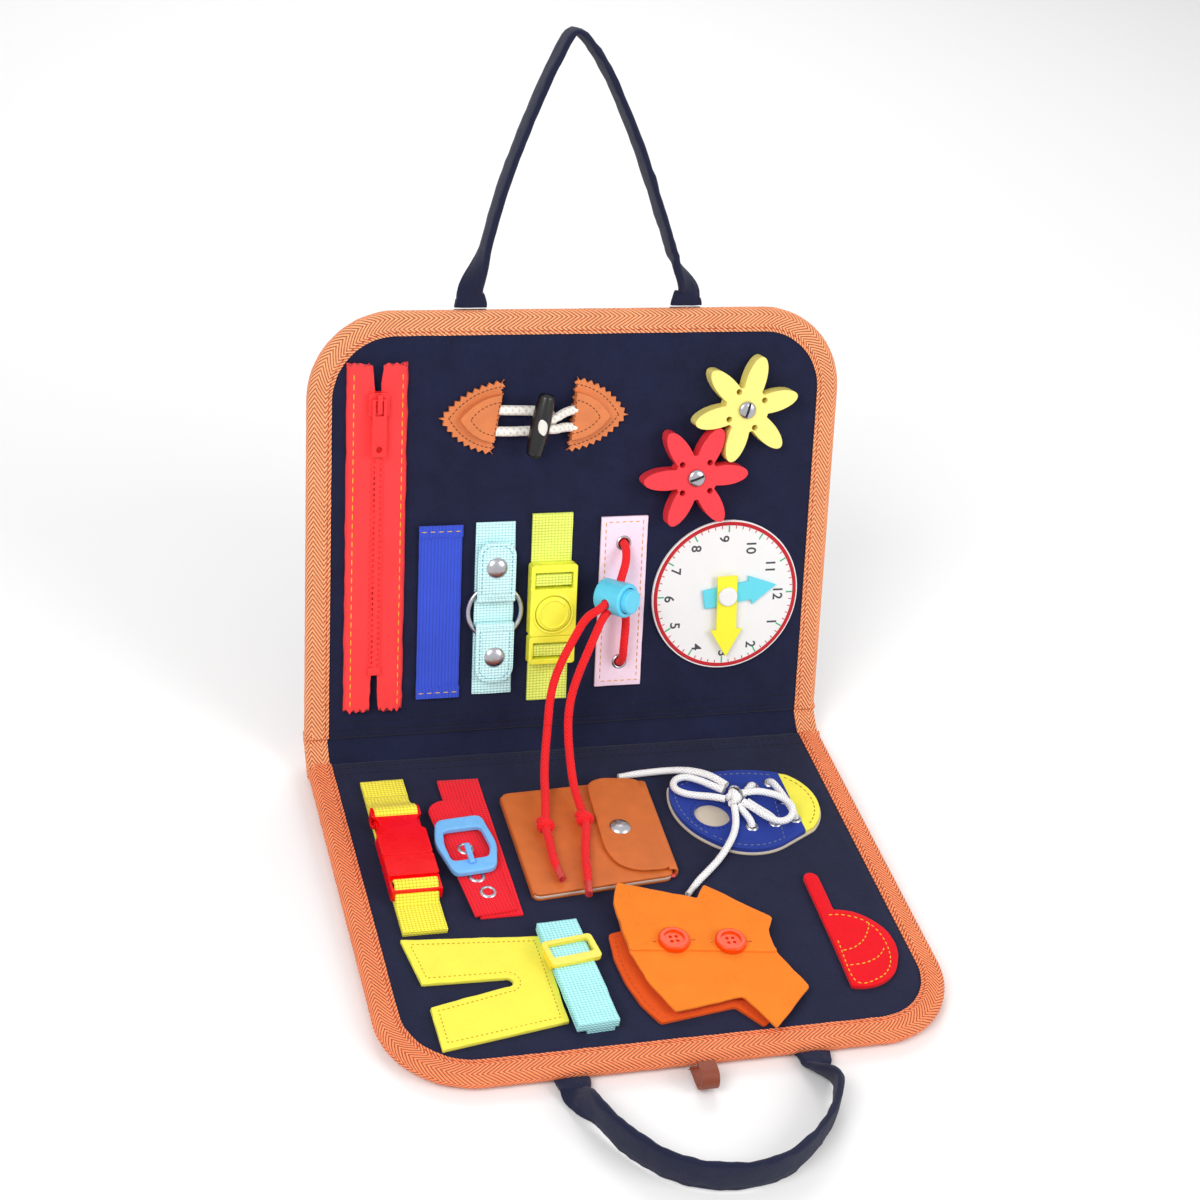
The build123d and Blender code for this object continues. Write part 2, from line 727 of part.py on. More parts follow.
with BuildPart() as push_buckle_strap:
    socket_strap_l = push_seam_end - push_joint - push_button_at
    socket_strap_middle = push_seam_end - socket_strap_l / 2
    slab(spot(upper_face, push_x, socket_strap_middle), push_strap_w, socket_strap_l, webbing_t)
    plug_strap_l = push_joint - 1.0 - push_seam_start
    plug_strap_middle = push_seam_start + plug_strap_l / 2
    slab(spot(upper_face, push_x, plug_strap_middle), push_strap_w, plug_strap_l, webbing_t)
    strap_over_bar(push_x, socket_pocket)
    strap_over_bar(push_x, plug_pocket)

# ================================================================ lacing toy

with BuildPart() as lacing_strip:
    place = spot(upper_face, lacing_x, lacing_start + lacing_length / 2)
    slab(place, lacing_w, lacing_length, lacing_t)
    for shift, reach in lacing_eyelets:
        hole = spot(upper_face, lacing_x + shift, reach)
        disc(hole, lacing_hole_r + barrel_t, lacing_t, mode=Mode.SUBTRACT)

with BuildPart() as lacing_eyelet_pair:
    for shift, reach in lacing_eyelets:
        barrel = spot(upper_face, lacing_x + shift, reach)
        disc(barrel, lacing_hole_r + barrel_t, lacing_t, hole=lacing_hole_r)
        flange = spot(upper_face, lacing_x + shift, reach, lacing_t)
        disc(flange, lacing_flange_r, flange_t, hole=lacing_hole_r)

# The cord lock: its barrel leans, its button is at the outer end, and the cord's four
# strands go into its side, two from the eyelets and two that hang down.
lock_x, lock_reach, lock_height = lock_center
lock_middle = spot(upper_face, lock_x, lock_reach, lock_height).origin
lock_axis = across * cos(radians(lock_tilt)) + front * sin(radians(lock_tilt))
strand_out = (across * -0.729 + lean * -0.457 + front * 0.511).normalized()
strand_side = lock_axis.cross(strand_out)


def around_lock(turn):
    """A direction square to the lock's axis, turned from the way back to its top side."""
    return strand_out * -cos(radians(turn)) + strand_side * -sin(radians(turn))


upper_way = around_lock(40)
lower_way = around_lock(-75)
pockets = (
    (strand_out, strand_side * -strand_half),
    (strand_out, strand_side * strand_half),
    (upper_way, Vector(0, 0, 0)),
    (lower_way, Vector(0, 0, 0)),
)
lock_button_top = lock_l / 2 + lock_button_out
lock_button_bottom = lock_button_top - lock_button_l
with BuildPart() as cord_lock_body:
    disc(Plane(origin=lock_middle - lock_axis * (lock_l / 2), z_dir=lock_axis), lock_r, lock_l)
    fillet(cord_lock_body.edges().group_by(SortBy.LENGTH)[-1], 1.0)
    bore_from = lock_button_bottom - lock_button_out - lock_gap
    bore = Plane(origin=lock_middle + lock_axis * bore_from, z_dir=lock_axis)
    disc(bore, lock_button_r + lock_gap, lock_l, mode=Mode.SUBTRACT)
    for way, shift in pockets:
        pocket = Plane(origin=lock_middle + shift + way * lock_pocket, z_dir=way)
        disc(pocket, cord_d / 2 + strand_gap, lock_r, mode=Mode.SUBTRACT)

with BuildPart() as cord_lock_button:
    lock_cap = Plane(origin=lock_middle + lock_axis * lock_button_bottom, z_dir=lock_axis)
    disc(lock_cap, lock_button_r, lock_button_l)
    chamfer(cord_lock_button.faces().sort_by(Axis(lock_middle, lock_axis))[-1].edges(), 0.5)


def at_lock(way, distance, shift=Vector(0, 0, 0)):
    """A cord's point on a way into or out of the lock."""
    return tuple(lock_middle + shift + way * distance)


def above_strip(x, reach, height):
    """A cord's point over the lacing strip."""
    return tuple(spot(upper_face, x, reach, height).origin)


pocket_floor = lock_pocket + strand_gap
left_strand = strand_side * -strand_half
right_strand = strand_side * strand_half
upper_strand_route = [
    above_strip(23.3, 91.6, 0.4), above_strip(23.3, 91.2, 3.9), above_strip(23.1, 88.2, 7.0),
    above_strip(22.3, 83.6, 9.2), at_lock(upper_way, 11.0), at_lock(upper_way, pocket_floor),
]
lower_strand_route = [
    above_strip(23.8, 32.2, 0.4), above_strip(23.8, 32.7, 3.9), above_strip(23.8, 36.0, 6.9),
    above_strip(23.5, 41.8, 8.2), above_strip(23.9, 48.8, 8.1), above_strip(24.2, 55.6, 7.9),
    at_lock(lower_way, 11.0), at_lock(lower_way, pocket_floor),
]
# Two strands hang from the lock over the fold and lie on the wallet.
left_route = [
    at_lock(strand_out, pocket_floor, left_strand), at_lock(strand_out, 11.5, left_strand),
    (0.3, 110.2, 77.3), (-5.0, 107.3, 67.5), (-10.6, 103.5, 57.8), (-14.6, 99.4, 48.8),
    (-17.0, 94.1, 40.0), (-18.5, 87.2, 31.5), (-20.9, 78.4, 24.3), (-23.6, 67.4, 19.0),
    (-25.8, 54.4, 15.9), (-28.6, 43.6, 14.6),
]
right_route = [
    at_lock(strand_out, pocket_floor, right_strand), at_lock(strand_out, 11.5, right_strand),
    (4.2, 104.6, 71.0), (0.2, 101.2, 62.0), (-3.9, 97.2, 53.0), (-7.4, 92.4, 44.5),
    (-9.4, 86.4, 36.6), (-10.0, 79.8, 29.0), (-10.4, 71.7, 23.0), (-11.2, 61.2, 18.6),
    (-11.2, 53.0, 16.4), (-10.6, 45.4, 14.9),
]
left_tail = [(-30.1, 29.6, 13.5), (-30.9, 22.0, 13.2), (-31.4, 12.5, 13.1), (-30.6, 3.2, 13.1)]
right_tail = [
    (-12.2, 31.0, 13.6), (-14.9, 22.2, 13.2), (-17.2, 12.4, 13.1), (-18.9, 2.2, 13.1),
    (-21.2, -7.6, 13.1),
]


def knot(end, before):
    """A knot at the end of a route, wide in the middle."""
    start = Vector(*end)
    way = (start - Vector(*before)).normalized()
    side = way.cross(Vector(0, 0, 1)).normalized()
    with BuildSketch(Plane(origin=start, x_dir=side, z_dir=side.cross(way))) as profile:
        with BuildLine():
            Polyline(
                (0, 0), (cord_d / 2, 0), (knot_r * 0.85, knot_l * 0.2), (knot_r, knot_l / 2),
                (knot_r * 0.85, knot_l * 0.8), (cord_d / 2, knot_l), (0, knot_l), close=True,
            )
        make_face()
    revolve(profile.sketch, axis=Axis(start, way))


def beyond(end, before, distance):
    """A place past the end of a route."""
    way = (Vector(*end) - Vector(*before)).normalized()
    return Vector(*end) + way * distance


cord_pieces = {}
for name, route in (
    ("upper strand", upper_strand_route),
    ("lower strand", lower_strand_route),
    ("left strand", left_route),
    ("right strand", right_route),
):
    with BuildPart() as strand:
        cord(name, route, cord_d)
    cord_pieces[name] = strand.part
red_cord = Compound(children=list(cord_pieces.values()))

cord_ends = []
for name, route, tail in (
    ("left tail", left_route, left_tail),
    ("right tail", right_route, right_tail),
):
    with BuildPart() as cord_knot:
        knot(route[-1], route[-2])
    after_knot = tuple(beyond(route[-1], route[-2], knot_l))
    with BuildPart() as cord_tail:
        cord(name, [after_knot] + tail, cord_d)
    cord_ends += [cord_knot.part, cord_tail.part]
red_cord_ends = Compound(children=cord_ends)

# ================================================================ toggle

toggle_x = ring_x + toggle_shift
toggle_reach = panel_h - toggle_from_edge
left_patch = ((-44.3, 0.9), (-13.6, 18.4), (-18.8, -16.6))
right_patch = ((45.9, 0.8), (19.7, 19.2), (16.7, -16.4))
patch_inset = 3.2


def leather_patch(corners, bulge):
    """A leaf-shaped patch: a point, two bowed sides and a straight side, under a smaller top."""
    tip, top, bottom = (Vector(*corner) for corner in corners)
    upper_middle = (tip + top) * 0.5 + Vector(0, bulge)
    lower_middle = (tip + bottom) * 0.5 - Vector(0, bulge)
    with BuildSketch(spot(upper_face, toggle_x, toggle_reach)) as leaf:
        with BuildLine():
            ThreePointArc(tip, upper_middle, top)
            Line(top, bottom)
            ThreePointArc(bottom, lower_middle, tip)
        make_face()
    extrude(leaf.sketch, amount=patch_t)
    with BuildSketch(spot(upper_face, toggle_x, toggle_reach, patch_t)) as leaf_top:
        add(leaf.sketch_local)
        offset(amount=-patch_inset)
    extrude(leaf_top.sketch, amount=patch_top_t)


with BuildPart() as toggle_patches:
    leather_patch(left_patch, 3.5)
    leather_patch(right_patch, 3.5)

horn_z = toggle_cord_d + horn_gap + horn_r
horn_place = spot(upper_face, toggle_x + 1.3, toggle_reach - 1.5, horn_z, horn_turn)
with BuildPart() as toggle_horn:
    horn_dir = horn_place.y_dir
    with BuildSketch(Plane(origin=horn_place.origin, x_dir=horn_dir, z_dir=front)) as horn_half:
        with BuildLine():
            Polyline((-horn_l / 2, 0), (-horn_l / 2, horn_end_r - 1.2), (-horn_l / 2 + 1.2, horn_end_r))
            ThreePointArc((-horn_l / 2 + 1.2, horn_end_r), (0, horn_r), (horn_l / 2 - 1.2, horn_end_r))
            Polyline((horn_l / 2 - 1.2, horn_end_r), (horn_l / 2, horn_end_r - 1.2), (horn_l / 2, 0))
            Line((horn_l / 2, 0), (-horn_l / 2, 0))
        make_face()
    revolve(horn_half.sketch, axis=Axis(horn_place.origin, horn_dir))

# The left loop passes under the horn; the right pair rises to the horn's own hole.
loop_z = toggle_cord_d / 2
seam_z = patch_t + patch_top_t + loop_z + 0.2
left_seam = -19.0
right_seam = 19.2


def on_toggle(x, y, z):
    return tuple(spot(upper_face, toggle_x + x, toggle_reach + y, z).origin)


toggle_loop_route = [
    on_toggle(left_seam - 6.0, 4.6, seam_z), on_toggle(left_seam, 4.8, seam_z),
    on_toggle(left_seam + 5.5, 4.6, patch_t + loop_z + 0.7), on_toggle(-6.0, 4.2, loop_z),
    on_toggle(2.0, 3.8, loop_z), on_toggle(8.6, 2.9, loop_z), on_toggle(8.8, -4.5, loop_z),
    on_toggle(2.0, -5.4, loop_z), on_toggle(-6.0, -5.6, loop_z),
    on_toggle(left_seam + 5.5, -5.4, patch_t + loop_z + 0.7), on_toggle(left_seam, -5.2, seam_z),
    on_toggle(left_seam - 6.0, -5.0, seam_z),
]
toggle_cord_pieces = []
with BuildPart() as toggle_loop:
    cord("toggle loop", toggle_loop_route, toggle_cord_d)
toggle_cord_pieces.append(toggle_loop.part)
for side in (-1, 1):
    with BuildPart() as toggle_strand:
        rising = [
            on_toggle(right_seam + 6.0, side * 4.4, seam_z),
            on_toggle(right_seam, side * 4.2, seam_z + 0.3),
            on_toggle(13.5, side * 3.4, horn_z - 1.2),
            on_toggle(1.3 + horn_r + 2.2, side * 2.6 - 1.2, horn_z),
        ]
        cord("toggle strand", rising, toggle_cord_d)
    toggle_cord_pieces.append(toggle_strand.part)
toggle_cords = Compound(children=toggle_cord_pieces)

# ================================================================ gears


def make_gear(x, reach, line, hole_turn):
    """A six-petal gear that turns freely on its rivet. Line is where its mate stands."""
    with BuildPart() as gear:
        with BuildSketch(spot(upper_face, x, reach, gear_rise)) as outline:
            Circle(gear_hub_r)
            for step in range(petal_count):
                turn = line + 360 / petal_count * step
                middle = Vector(petal_r, 0).rotate(Axis.Z, turn)
                with Locations(Location((middle.X, middle.Y), turn)):
                    Ellipse(gear_tip_r - petal_r, petal_half_w)
            Circle(axle_r + axle_gap, mode=Mode.SUBTRACT)
            with PolarLocations(gear_hole_ring, 4, start_angle=hole_turn):
                Circle(gear_hole_r, mode=Mode.SUBTRACT)
        extrude(outline.sketch, amount=gear_t)
    return gear


gear_red = make_gear(red_x, red_reach, yellow_gear_at + petal_phase, gear_hole_turns[0])
yellow_line = yellow_gear_at + 180 - petal_phase + 180 / petal_count
gear_yellow = make_gear(yellow_x, yellow_reach, yellow_line, gear_hole_turns[1])

gear_rivet_pieces = []
for x, reach in ((red_x, red_reach), (yellow_x, yellow_reach)):
    with BuildPart() as gear_rivet:
        disc(spot(upper_face, x, reach), axle_r + 2.2, gear_rise - 0.3)
        disc(spot(upper_face, x, reach), axle_r, gear_rise + gear_t + 0.3)
        head_z = gear_rise + gear_t + 0.3
        disc(spot(upper_face, x, reach, head_z), rivet_r, rivet_t)
        chamfer(gear_rivet.faces().sort_by(Axis(upper_axis, front))[-1].edges(), 0.6)
    gear_rivet_pieces.append(gear_rivet.part)
gear_rivets = Compound(children=gear_rivet_pieces)

# ================================================================ clock

short_hand_z = dial_t + hand_gap
long_hand_z = short_hand_z + hand_t + hand_gap
dial_rivet_z = long_hand_z + hand_t + hand_gap
with BuildPart() as clock_dial:
    disc(spot(upper_face, dial_x, dial_reach), dial_d / 2, dial_t)
    disc(spot(upper_face, dial_x, dial_reach, dial_t), dial_pin_r, dial_rivet_z - dial_t)
    disc(spot(upper_face, dial_x, dial_reach, dial_rivet_z), dial_rivet_r, rivet_t)
    fillet(clock_dial.faces().sort_by(Axis(upper_axis, front))[-1].edges(), 1.0)


def make_hand(size, height):
    """A clock hand: a bar with a round tail and an arrow at its tip."""
    tip, tail, width, arrow_half, turn = size
    with BuildPart() as hand:
        with BuildSketch(spot(upper_face, dial_x, dial_reach, height, turn)) as outline:
            with BuildLine():
                Polyline(
                    (-tail, -width / 2), (tip - arrow_l, -width / 2), (tip - arrow_l, -arrow_half),
                    (tip, 0), (tip - arrow_l, arrow_half), (tip - arrow_l, width / 2),
                    (-tail, width / 2), close=True,
                )
            make_face()
            Circle(dial_pin_r + axle_gap, mode=Mode.SUBTRACT)
        extrude(outline.sketch, amount=hand_t)
    return hand


clock_hour_hand = make_hand(short_hand, short_hand_z)
clock_minute_hand = make_hand(long_hand, long_hand_z)

# ================================================================ side-release buckle

clip_x = zip_x
clip_z = 2 * webbing_t + 0.2
clip_roof = clip_z + clip_t - clip_wall
clip_floor = clip_z + clip_wall
clip_joint = clip_socket_start + clip_socket_l
with BuildPart() as clip_socket:
    place = spot(lower_face, clip_x, clip_socket_start + clip_socket_l / 2, clip_z)
    slab(place, clip_w, clip_socket_l, clip_t, corner=1.5)
    hollow_l = clip_socket_l - clip_end_wall
    hollow = spot(lower_face, clip_x, clip_joint - hollow_l / 2, clip_floor)
    slab(hollow, clip_w - 2 * clip_rail, hollow_l, clip_roof - clip_floor, mode=Mode.SUBTRACT)
    window_reach = clip_socket_start + clip_window_start + clip_window_l / 2
    window = spot(lower_face, clip_x, window_reach, clip_floor)
    slab(window, 2 * clip_w, clip_window_l, clip_roof - clip_floor, mode=Mode.SUBTRACT)
    for side in (-1, 1):
        waist = spot(lower_face, clip_x + side * (clip_w / 2 + 3.2), window_reach, clip_z)
        disc(waist, clip_window_l / 2 - 0.5, clip_t, mode=Mode.SUBTRACT)

with BuildPart() as clip_plug:
    body_reach = clip_joint + clip_gap + clip_plug_l / 2
    slab(spot(lower_face, clip_x, body_reach, clip_z), clip_w, clip_plug_l, clip_t, corner=1.2)
    arm_t = clip_roof - clip_floor - 2 * clip_gap
    arm_z = clip_floor + clip_gap
    for side in (-1, 1):
        arm_x = clip_x + side * (clip_w / 2 - clip_rail - clip_gap - clip_arm_w / 2)
        arm = spot(lower_face, arm_x, clip_joint - clip_arm_l / 2 + 1.0, arm_z)
        slab(arm, clip_arm_w, clip_arm_l + 2.0, arm_t)
    guide = spot(lower_face, clip_x, clip_joint - clip_guide_l / 2 + 1.0, arm_z)
    slab(guide, clip_guide_w, clip_guide_l + 2.0, arm_t)
    ladder_reach = clip_joint + clip_gap + clip_plug_l + clip_ladder_l / 2
    ladder = spot(lower_face, clip_x, ladder_reach - 0.5, clip_z)
    slab(ladder, clip_w, clip_ladder_l + 1.0, clip_t - 1.6)
    ladder_slot = spot(lower_face, clip_x, ladder_reach - 0.4, clip_z)
    slab(ladder_slot, clip_strap_w + 0.6, clip_ladder_l * 0.5, clip_t, mode=Mode.SUBTRACT)

with BuildPart() as clip_strap:
    clip_middle = (clip_start + clip_end) / 2
    clip_length = clip_end - clip_start
    slab(spot(lower_face, clip_x, clip_middle), clip_strap_w, clip_length, webbing_t)
    upper_layer_l = clip_socket_start - clip_start - 0.6
    upper_layer = spot(lower_face, clip_x, clip_start + upper_layer_l / 2, webbing_t)
    slab(upper_layer, clip_strap_w, upper_layer_l, webbing_t)
    lower_layer_l = clip_end - ladder_reach
    lower_layer = spot(lower_face, clip_x, clip_end - lower_layer_l / 2, webbing_t)
    slab(lower_layer, clip_strap_w, lower_layer_l, webbing_t)

# ================================================================ belt

belt_x = left_edge + belt_x_from_edge
belt_tongue = (belt_x - 6.0, 73.0)    # middle of the tongue, which lies askew
belt_frame_at = (belt_x - 6.8, 68.5)
belt_frame_z = 2 * webbing_t + flange_t - 0.1
frame_outer = ((-11.2, 16.6), (10.6, 18.6), (13.8, -1.5), (10.2, -17.4), (-9.6, -19.4), (-14.4, 2.0))
frame_inner = ((-8.9, 9.4), (8.6, 10.8), (10.4, -2.0), (8.4, -9.4), (-9.0, -11.0), (-10.2, 0.0))
belt_eyelets = ((-0.2, -0.2), (0.8, -18.6), (3.6, -29.0))   # from the frame's middle


def on_belt(shift, height, turn=0.0):
    """A plane on the belt, placed from the middle of its frame, with y towards the crease."""
    x, reach = belt_frame_at
    return spot(lower_face, x + shift[0], reach - shift[1], height, turn)


with BuildPart() as belt_strap:
    slab(spot(lower_face, belt_x, belt_start + belt_length / 2), belt_w, belt_length, webbing_t)
    tongue_x, tongue_reach = belt_tongue
    tongue_place = spot(lower_face, tongue_x, tongue_reach, webbing_t, belt_turn)
    slab(tongue_place, belt_w, belt_tongue_l, webbing_t)
    for shift in belt_eyelets:
        disc(on_belt(shift, webbing_t), belt_hole_r, webbing_t, mode=Mode.SUBTRACT)

with BuildPart() as belt_buckle_frame:
    sheet(on_belt((0, 0), belt_frame_z), frame_outer, belt_frame_t, corner=2.0)
    through = on_belt((0, 0), belt_frame_z)
    sheet(through, frame_inner, belt_frame_t, corner=1.5, mode=Mode.SUBTRACT)

prong_pin = (-0.6, -13.4)
prong_z = belt_frame_z + belt_frame_t + 0.2 + prong_r
with BuildPart() as belt_buckle_prong:
    prong_x = belt_frame_at[0] + prong_pin[0]
    prong_reach = belt_frame_at[1] - prong_pin[1]
    with BuildSketch(crosswise(lower_face, prong_x, prong_reach, prong_z)) as prong_bead:
        Circle(prong_r)
    extrude(prong_bead.sketch, amount=prong_w / 2, both=True)
    prong_arm = on_belt((prong_pin[0], prong_pin[1] + prong_l / 2), prong_z - prong_r)
    slab(prong_arm, prong_w, prong_l, 2 * prong_r - 0.4)

# ================================================================ wallet

wallet_at = (-9.0, 67.0)
wallet_corners = ((-35.0, 31.7), (33.6, 35.2), (31.6, -31.0), (-35.3, -36.9))
wallet_flap_corners = (
    (35.4, 35.5), (14.5, 36.6), (7.5, 31.5), (5.8, 22.0), (3.8, -12.0), (7.5, -20.5),
    (14.5, -28.0), (34.0, -30.0),
)
wallet_snap_at = (14.7, 1.3)
flap_bottom = wallet_t + wallet_gap
wallet_pin_z = wallet_flap_t / 2 + 0.4


def on_wallet(shift, height):
    return spot(lower_face, wallet_at[0] + shift[0], wallet_at[1] - shift[1], height)


with BuildPart() as wallet_body:
    sheet(on_wallet((0, 0), 0), wallet_corners, wallet_t, corner=4.0)
    snap_seat = on_wallet(wallet_snap_at, wallet_t - 0.6)
    disc(snap_seat, snap_stud_r + 0.4, 0.6, mode=Mode.SUBTRACT)

with BuildPart() as wallet_flap:
    sheet(on_wallet((0, 0), flap_bottom), wallet_flap_corners, wallet_flap_t)
    fold_l = 60.0
    fold_place = on_wallet((wallet_pin, 2.5), wallet_pin_z)
    with BuildSketch(Plane(origin=fold_place.origin, x_dir=across, z_dir=(0, 1, 0))) as fold:
        Circle(wallet_flap_t / 2)
        fold_h = flap_bottom + wallet_flap_t - wallet_pin_z
        Rectangle(wallet_flap_t, fold_h, align=(Align.CENTER, Align.MAX))
        with Locations((0, -(flap_bottom - wallet_pin_z))):
            Rectangle(6.0, wallet_flap_t, align=(Align.MAX, Align.MAX))
    extrude(fold.sketch, amount=fold_l / 2, both=True)
    snap_hole = on_wallet(wallet_snap_at, flap_bottom)
    disc(snap_hole, snap_stem_r + 0.1, wallet_flap_t, mode=Mode.SUBTRACT)

wallet_snap = make_snap(
    lower_face, wallet_at[0] + wallet_snap_at[0], wallet_at[1] - wallet_snap_at[1],
    flap_bottom, flap_bottom + wallet_flap_t, 0.5,
)

# ================================================================ shoe

shoe_x = right_edge - shoe_from_edge
shoe_top_z = shoe_base_t + shoe_upper_t
shoe_eyelets = ((8.7, 15.6), (18.3, 17.2), (-0.8, 14.2), (-0.6, -11.9), (11.5, -10.5), (22.0, -8.9))
shoe_window = ((-17.0, -1.5), 8.6)


def on_shoe(shift, height):
    return spot(lower_face, shoe_x + shift[0], shoe_reach - shift[1], height)


def shoe_outline(height, inset=0.0):
    """The sole of the shoe: a blunt heel at the left and a round toe at the right."""
    with BuildSketch(on_shoe((0, 0), height)) as sole:
        with BuildLine():
            ThreePointArc((-32.0, 21.5), (-34.5, 3.0), (-24.0, -18.0))
            ThreePointArc((-24.0, -18.0), (-7.0, -27.6), (14.0, -24.0))
            Line((14.0, -24.0), (30.0, -15.5))
            ThreePointArc((30.0, -15.5), (38.6, 3.0), (29.0, 23.5))
            ThreePointArc((29.0, 23.5), (4.0, 29.0), (-32.0, 21.5))
        make_face()
        if inset:
            offset(amount=-inset)
    return sole.sketch


with BuildPart() as shoe_base:
    extrude(shoe_outline(0.0), amount=shoe_base_t)

toe_line = 24.6
with BuildPart() as shoe_upper:
    extrude(shoe_outline(shoe_base_t, 0.8), amount=shoe_upper_t)
    toe_room = on_shoe((toe_line + panel_h / 2, 0), shoe_base_t)
    slab(toe_room, panel_h, panel_h, shoe_upper_t, mode=Mode.SUBTRACT)
    (window_shift, window_r) = shoe_window
    disc(on_shoe(window_shift, shoe_base_t), window_r, shoe_upper_t, mode=Mode.SUBTRACT)
    throat = ((toe_line, 6.0), (toe_line, 0.0), (toe_line - 9.0, 3.0))
    sheet(on_shoe((0, 0), shoe_base_t), throat, shoe_upper_t, mode=Mode.SUBTRACT)
    for shift in shoe_eyelets:
        disc(on_shoe(shift, shoe_base_t), shoe_hole_r, shoe_upper_t, mode=Mode.SUBTRACT)

with BuildPart() as shoe_toe:
    extrude(shoe_outline(shoe_base_t, 0.8), amount=shoe_upper_t - 0.4)
    upper_room = on_shoe((toe_line - panel_h / 2, 0), shoe_base_t)
    slab(upper_room, panel_h, panel_h, shoe_upper_t, mode=Mode.SUBTRACT)

lower_eyelet_pieces = []
for shift in belt_eyelets:
    with BuildPart() as belt_eyelet:
        disc(on_belt(shift, 2 * webbing_t), belt_eyelet_r, flange_t - 0.1, hole=belt_hole_r)
    lower_eyelet_pieces.append(belt_eyelet.part)
for shift in shoe_eyelets:
    with BuildPart() as shoe_eyelet:
        disc(on_shoe(shift, shoe_top_z), shoe_eyelet_r, flange_t, hole=shoe_hole_r)
    lower_eyelet_pieces.append(shoe_eyelet.part)
eyelets_lower = Compound(children=lower_eyelet_pieces)

# ---- lace: rows between the eyelets, a knot, two loops and two free ends
row_z = shoe_top_z + flange_t + lace_d / 2 + 0.1
knot_place = on_shoe((-6.0, 3.2), row_z + lace_d / 2 + 1.4)


def on_shoe_at(x, y, z):
    return tuple(on_shoe((x, y), z).origin)


lace_rows = (
    ("first lace row", (-0.6, -11.9), (-3.4, -1.6)),
    ("second lace row", (11.5, -10.5), (1.8, 0.4)),
    ("third lace row", (22.0, -8.9), (18.3, 17.2)),
    ("fourth lace row", (8.7, 15.6), (0.4, 6.4)),
)
left_loop_route = [
    on_shoe_at(-10.0, 2.6, 8.6), on_shoe_at(-15.2, 5.6, 8.0), on_shoe_at(-21.4, 8.0, 7.0),
    on_shoe_at(-27.6, 11.2, 6.0), on_shoe_at(-31.4, 16.2, 5.6), on_shoe_at(-29.6, 21.4, 5.8),
    on_shoe_at(-24.2, 22.8, 6.6), on_shoe_at(-18.6, 18.6, 7.6), on_shoe_at(-14.0, 13.2, 8.6),
    on_shoe_at(-9.4, 7.6, 9.4),
]
right_loop_route = [
    on_shoe_at(-1.8, 4.0, 10.2), on_shoe_at(4.2, 5.0, 10.4), on_shoe_at(11.4, 3.8, 9.6),
    on_shoe_at(18.0, 0.2, 9.2), on_shoe_at(21.0, -6.4, 8.8), on_shoe_at(18.2, -13.2, 8.6),
    on_shoe_at(11.6, -16.6, 8.8), on_shoe_at(5.6, -12.6, 9.2), on_shoe_at(1.4, -6.4, 9.4),
    on_shoe_at(-2.2, -0.8, 9.2),
]
left_end_route = [
    on_shoe_at(-8.0, 8.8, 11.6), on_shoe_at(-11.6, 15.2, 11.2), on_shoe_at(-16.6, 21.4, 9.6),
    on_shoe_at(-23.2, 26.6, 7.2), on_shoe_at(-31.0, 30.4, 4.2), on_shoe_at(-39.0, 32.2, 2.2),
    on_shoe_at(-46.4, 32.0, 1.9), on_shoe_at(-53.8, 31.0, 1.9),
]
right_end_route = [
    on_shoe_at(-7.2, -2.6, 8.2), on_shoe_at(-8.2, -9.6, 7.0), on_shoe_at(-11.2, -17.2, 6.0),
    on_shoe_at(-16.2, -24.6, 5.6), on_shoe_at(-22.6, -31.4, 3.2), on_shoe_at(-30.0, -37.6, 1.9),
    on_shoe_at(-37.6, -44.2, 1.9), on_shoe_at(-44.2, -51.6, 1.9),
]
lace_pieces = []
for name, start, end in lace_rows:
    with BuildPart() as lace_row:
        way = (Vector(*end) - Vector(*start)).normalized()
        row_start = on_shoe(start, row_z).origin
        row_length = (Vector(*end) - Vector(*start)).length
        disc(Plane(origin=row_start, z_dir=way), lace_d / 2, row_length)
    lace_pieces.append(lace_row.part)
for name, route in (
    ("left lace loop", left_loop_route),
    ("right lace loop", right_loop_route),
    ("left lace end", left_end_route),
    ("right lace end", right_end_route),
):
    with BuildPart() as lace_cord:
        cord(name, route, lace_d)
    lace_pieces.append(lace_cord.part)
with BuildPart() as lace_knot:
    with BuildSketch(Plane(origin=knot_place.origin, x_dir=(1, 0, 0), z_dir=(0, -1, 0))) as knot_half:
        Ellipse(4.6, 3.4)
        with Locations((0, -5)):
            Rectangle(10, 10, mode=Mode.SUBTRACT)
    revolve(knot_half.sketch, axis=Axis(knot_place.origin, (1, 0, 0)))
shoelace = Compound(children=lace_pieces + [lace_knot.part])

# ================================================================ trousers

pants_x = left_edge + pants_from_edge
pants_reach = panel_h - pants_from_end
pants_corners = (
    (-31.3, 32.3), (29.5, 27.4), (29.7, -23.5), (-26.5, -32.3), (-26.7, -8.2), (10.5, 0.2),
    (10.0, 4.0), (-27.4, 5.6),
)
with BuildPart() as pants_felt:
    pants_place = spot(lower_face, pants_x, pants_reach)
    with BuildSketch(pants_place) as pants_outline:
        with BuildLine():
            Polyline(*pants_corners, close=True)
        make_face()
    extrude(pants_outline.sketch, amount=pants_t)

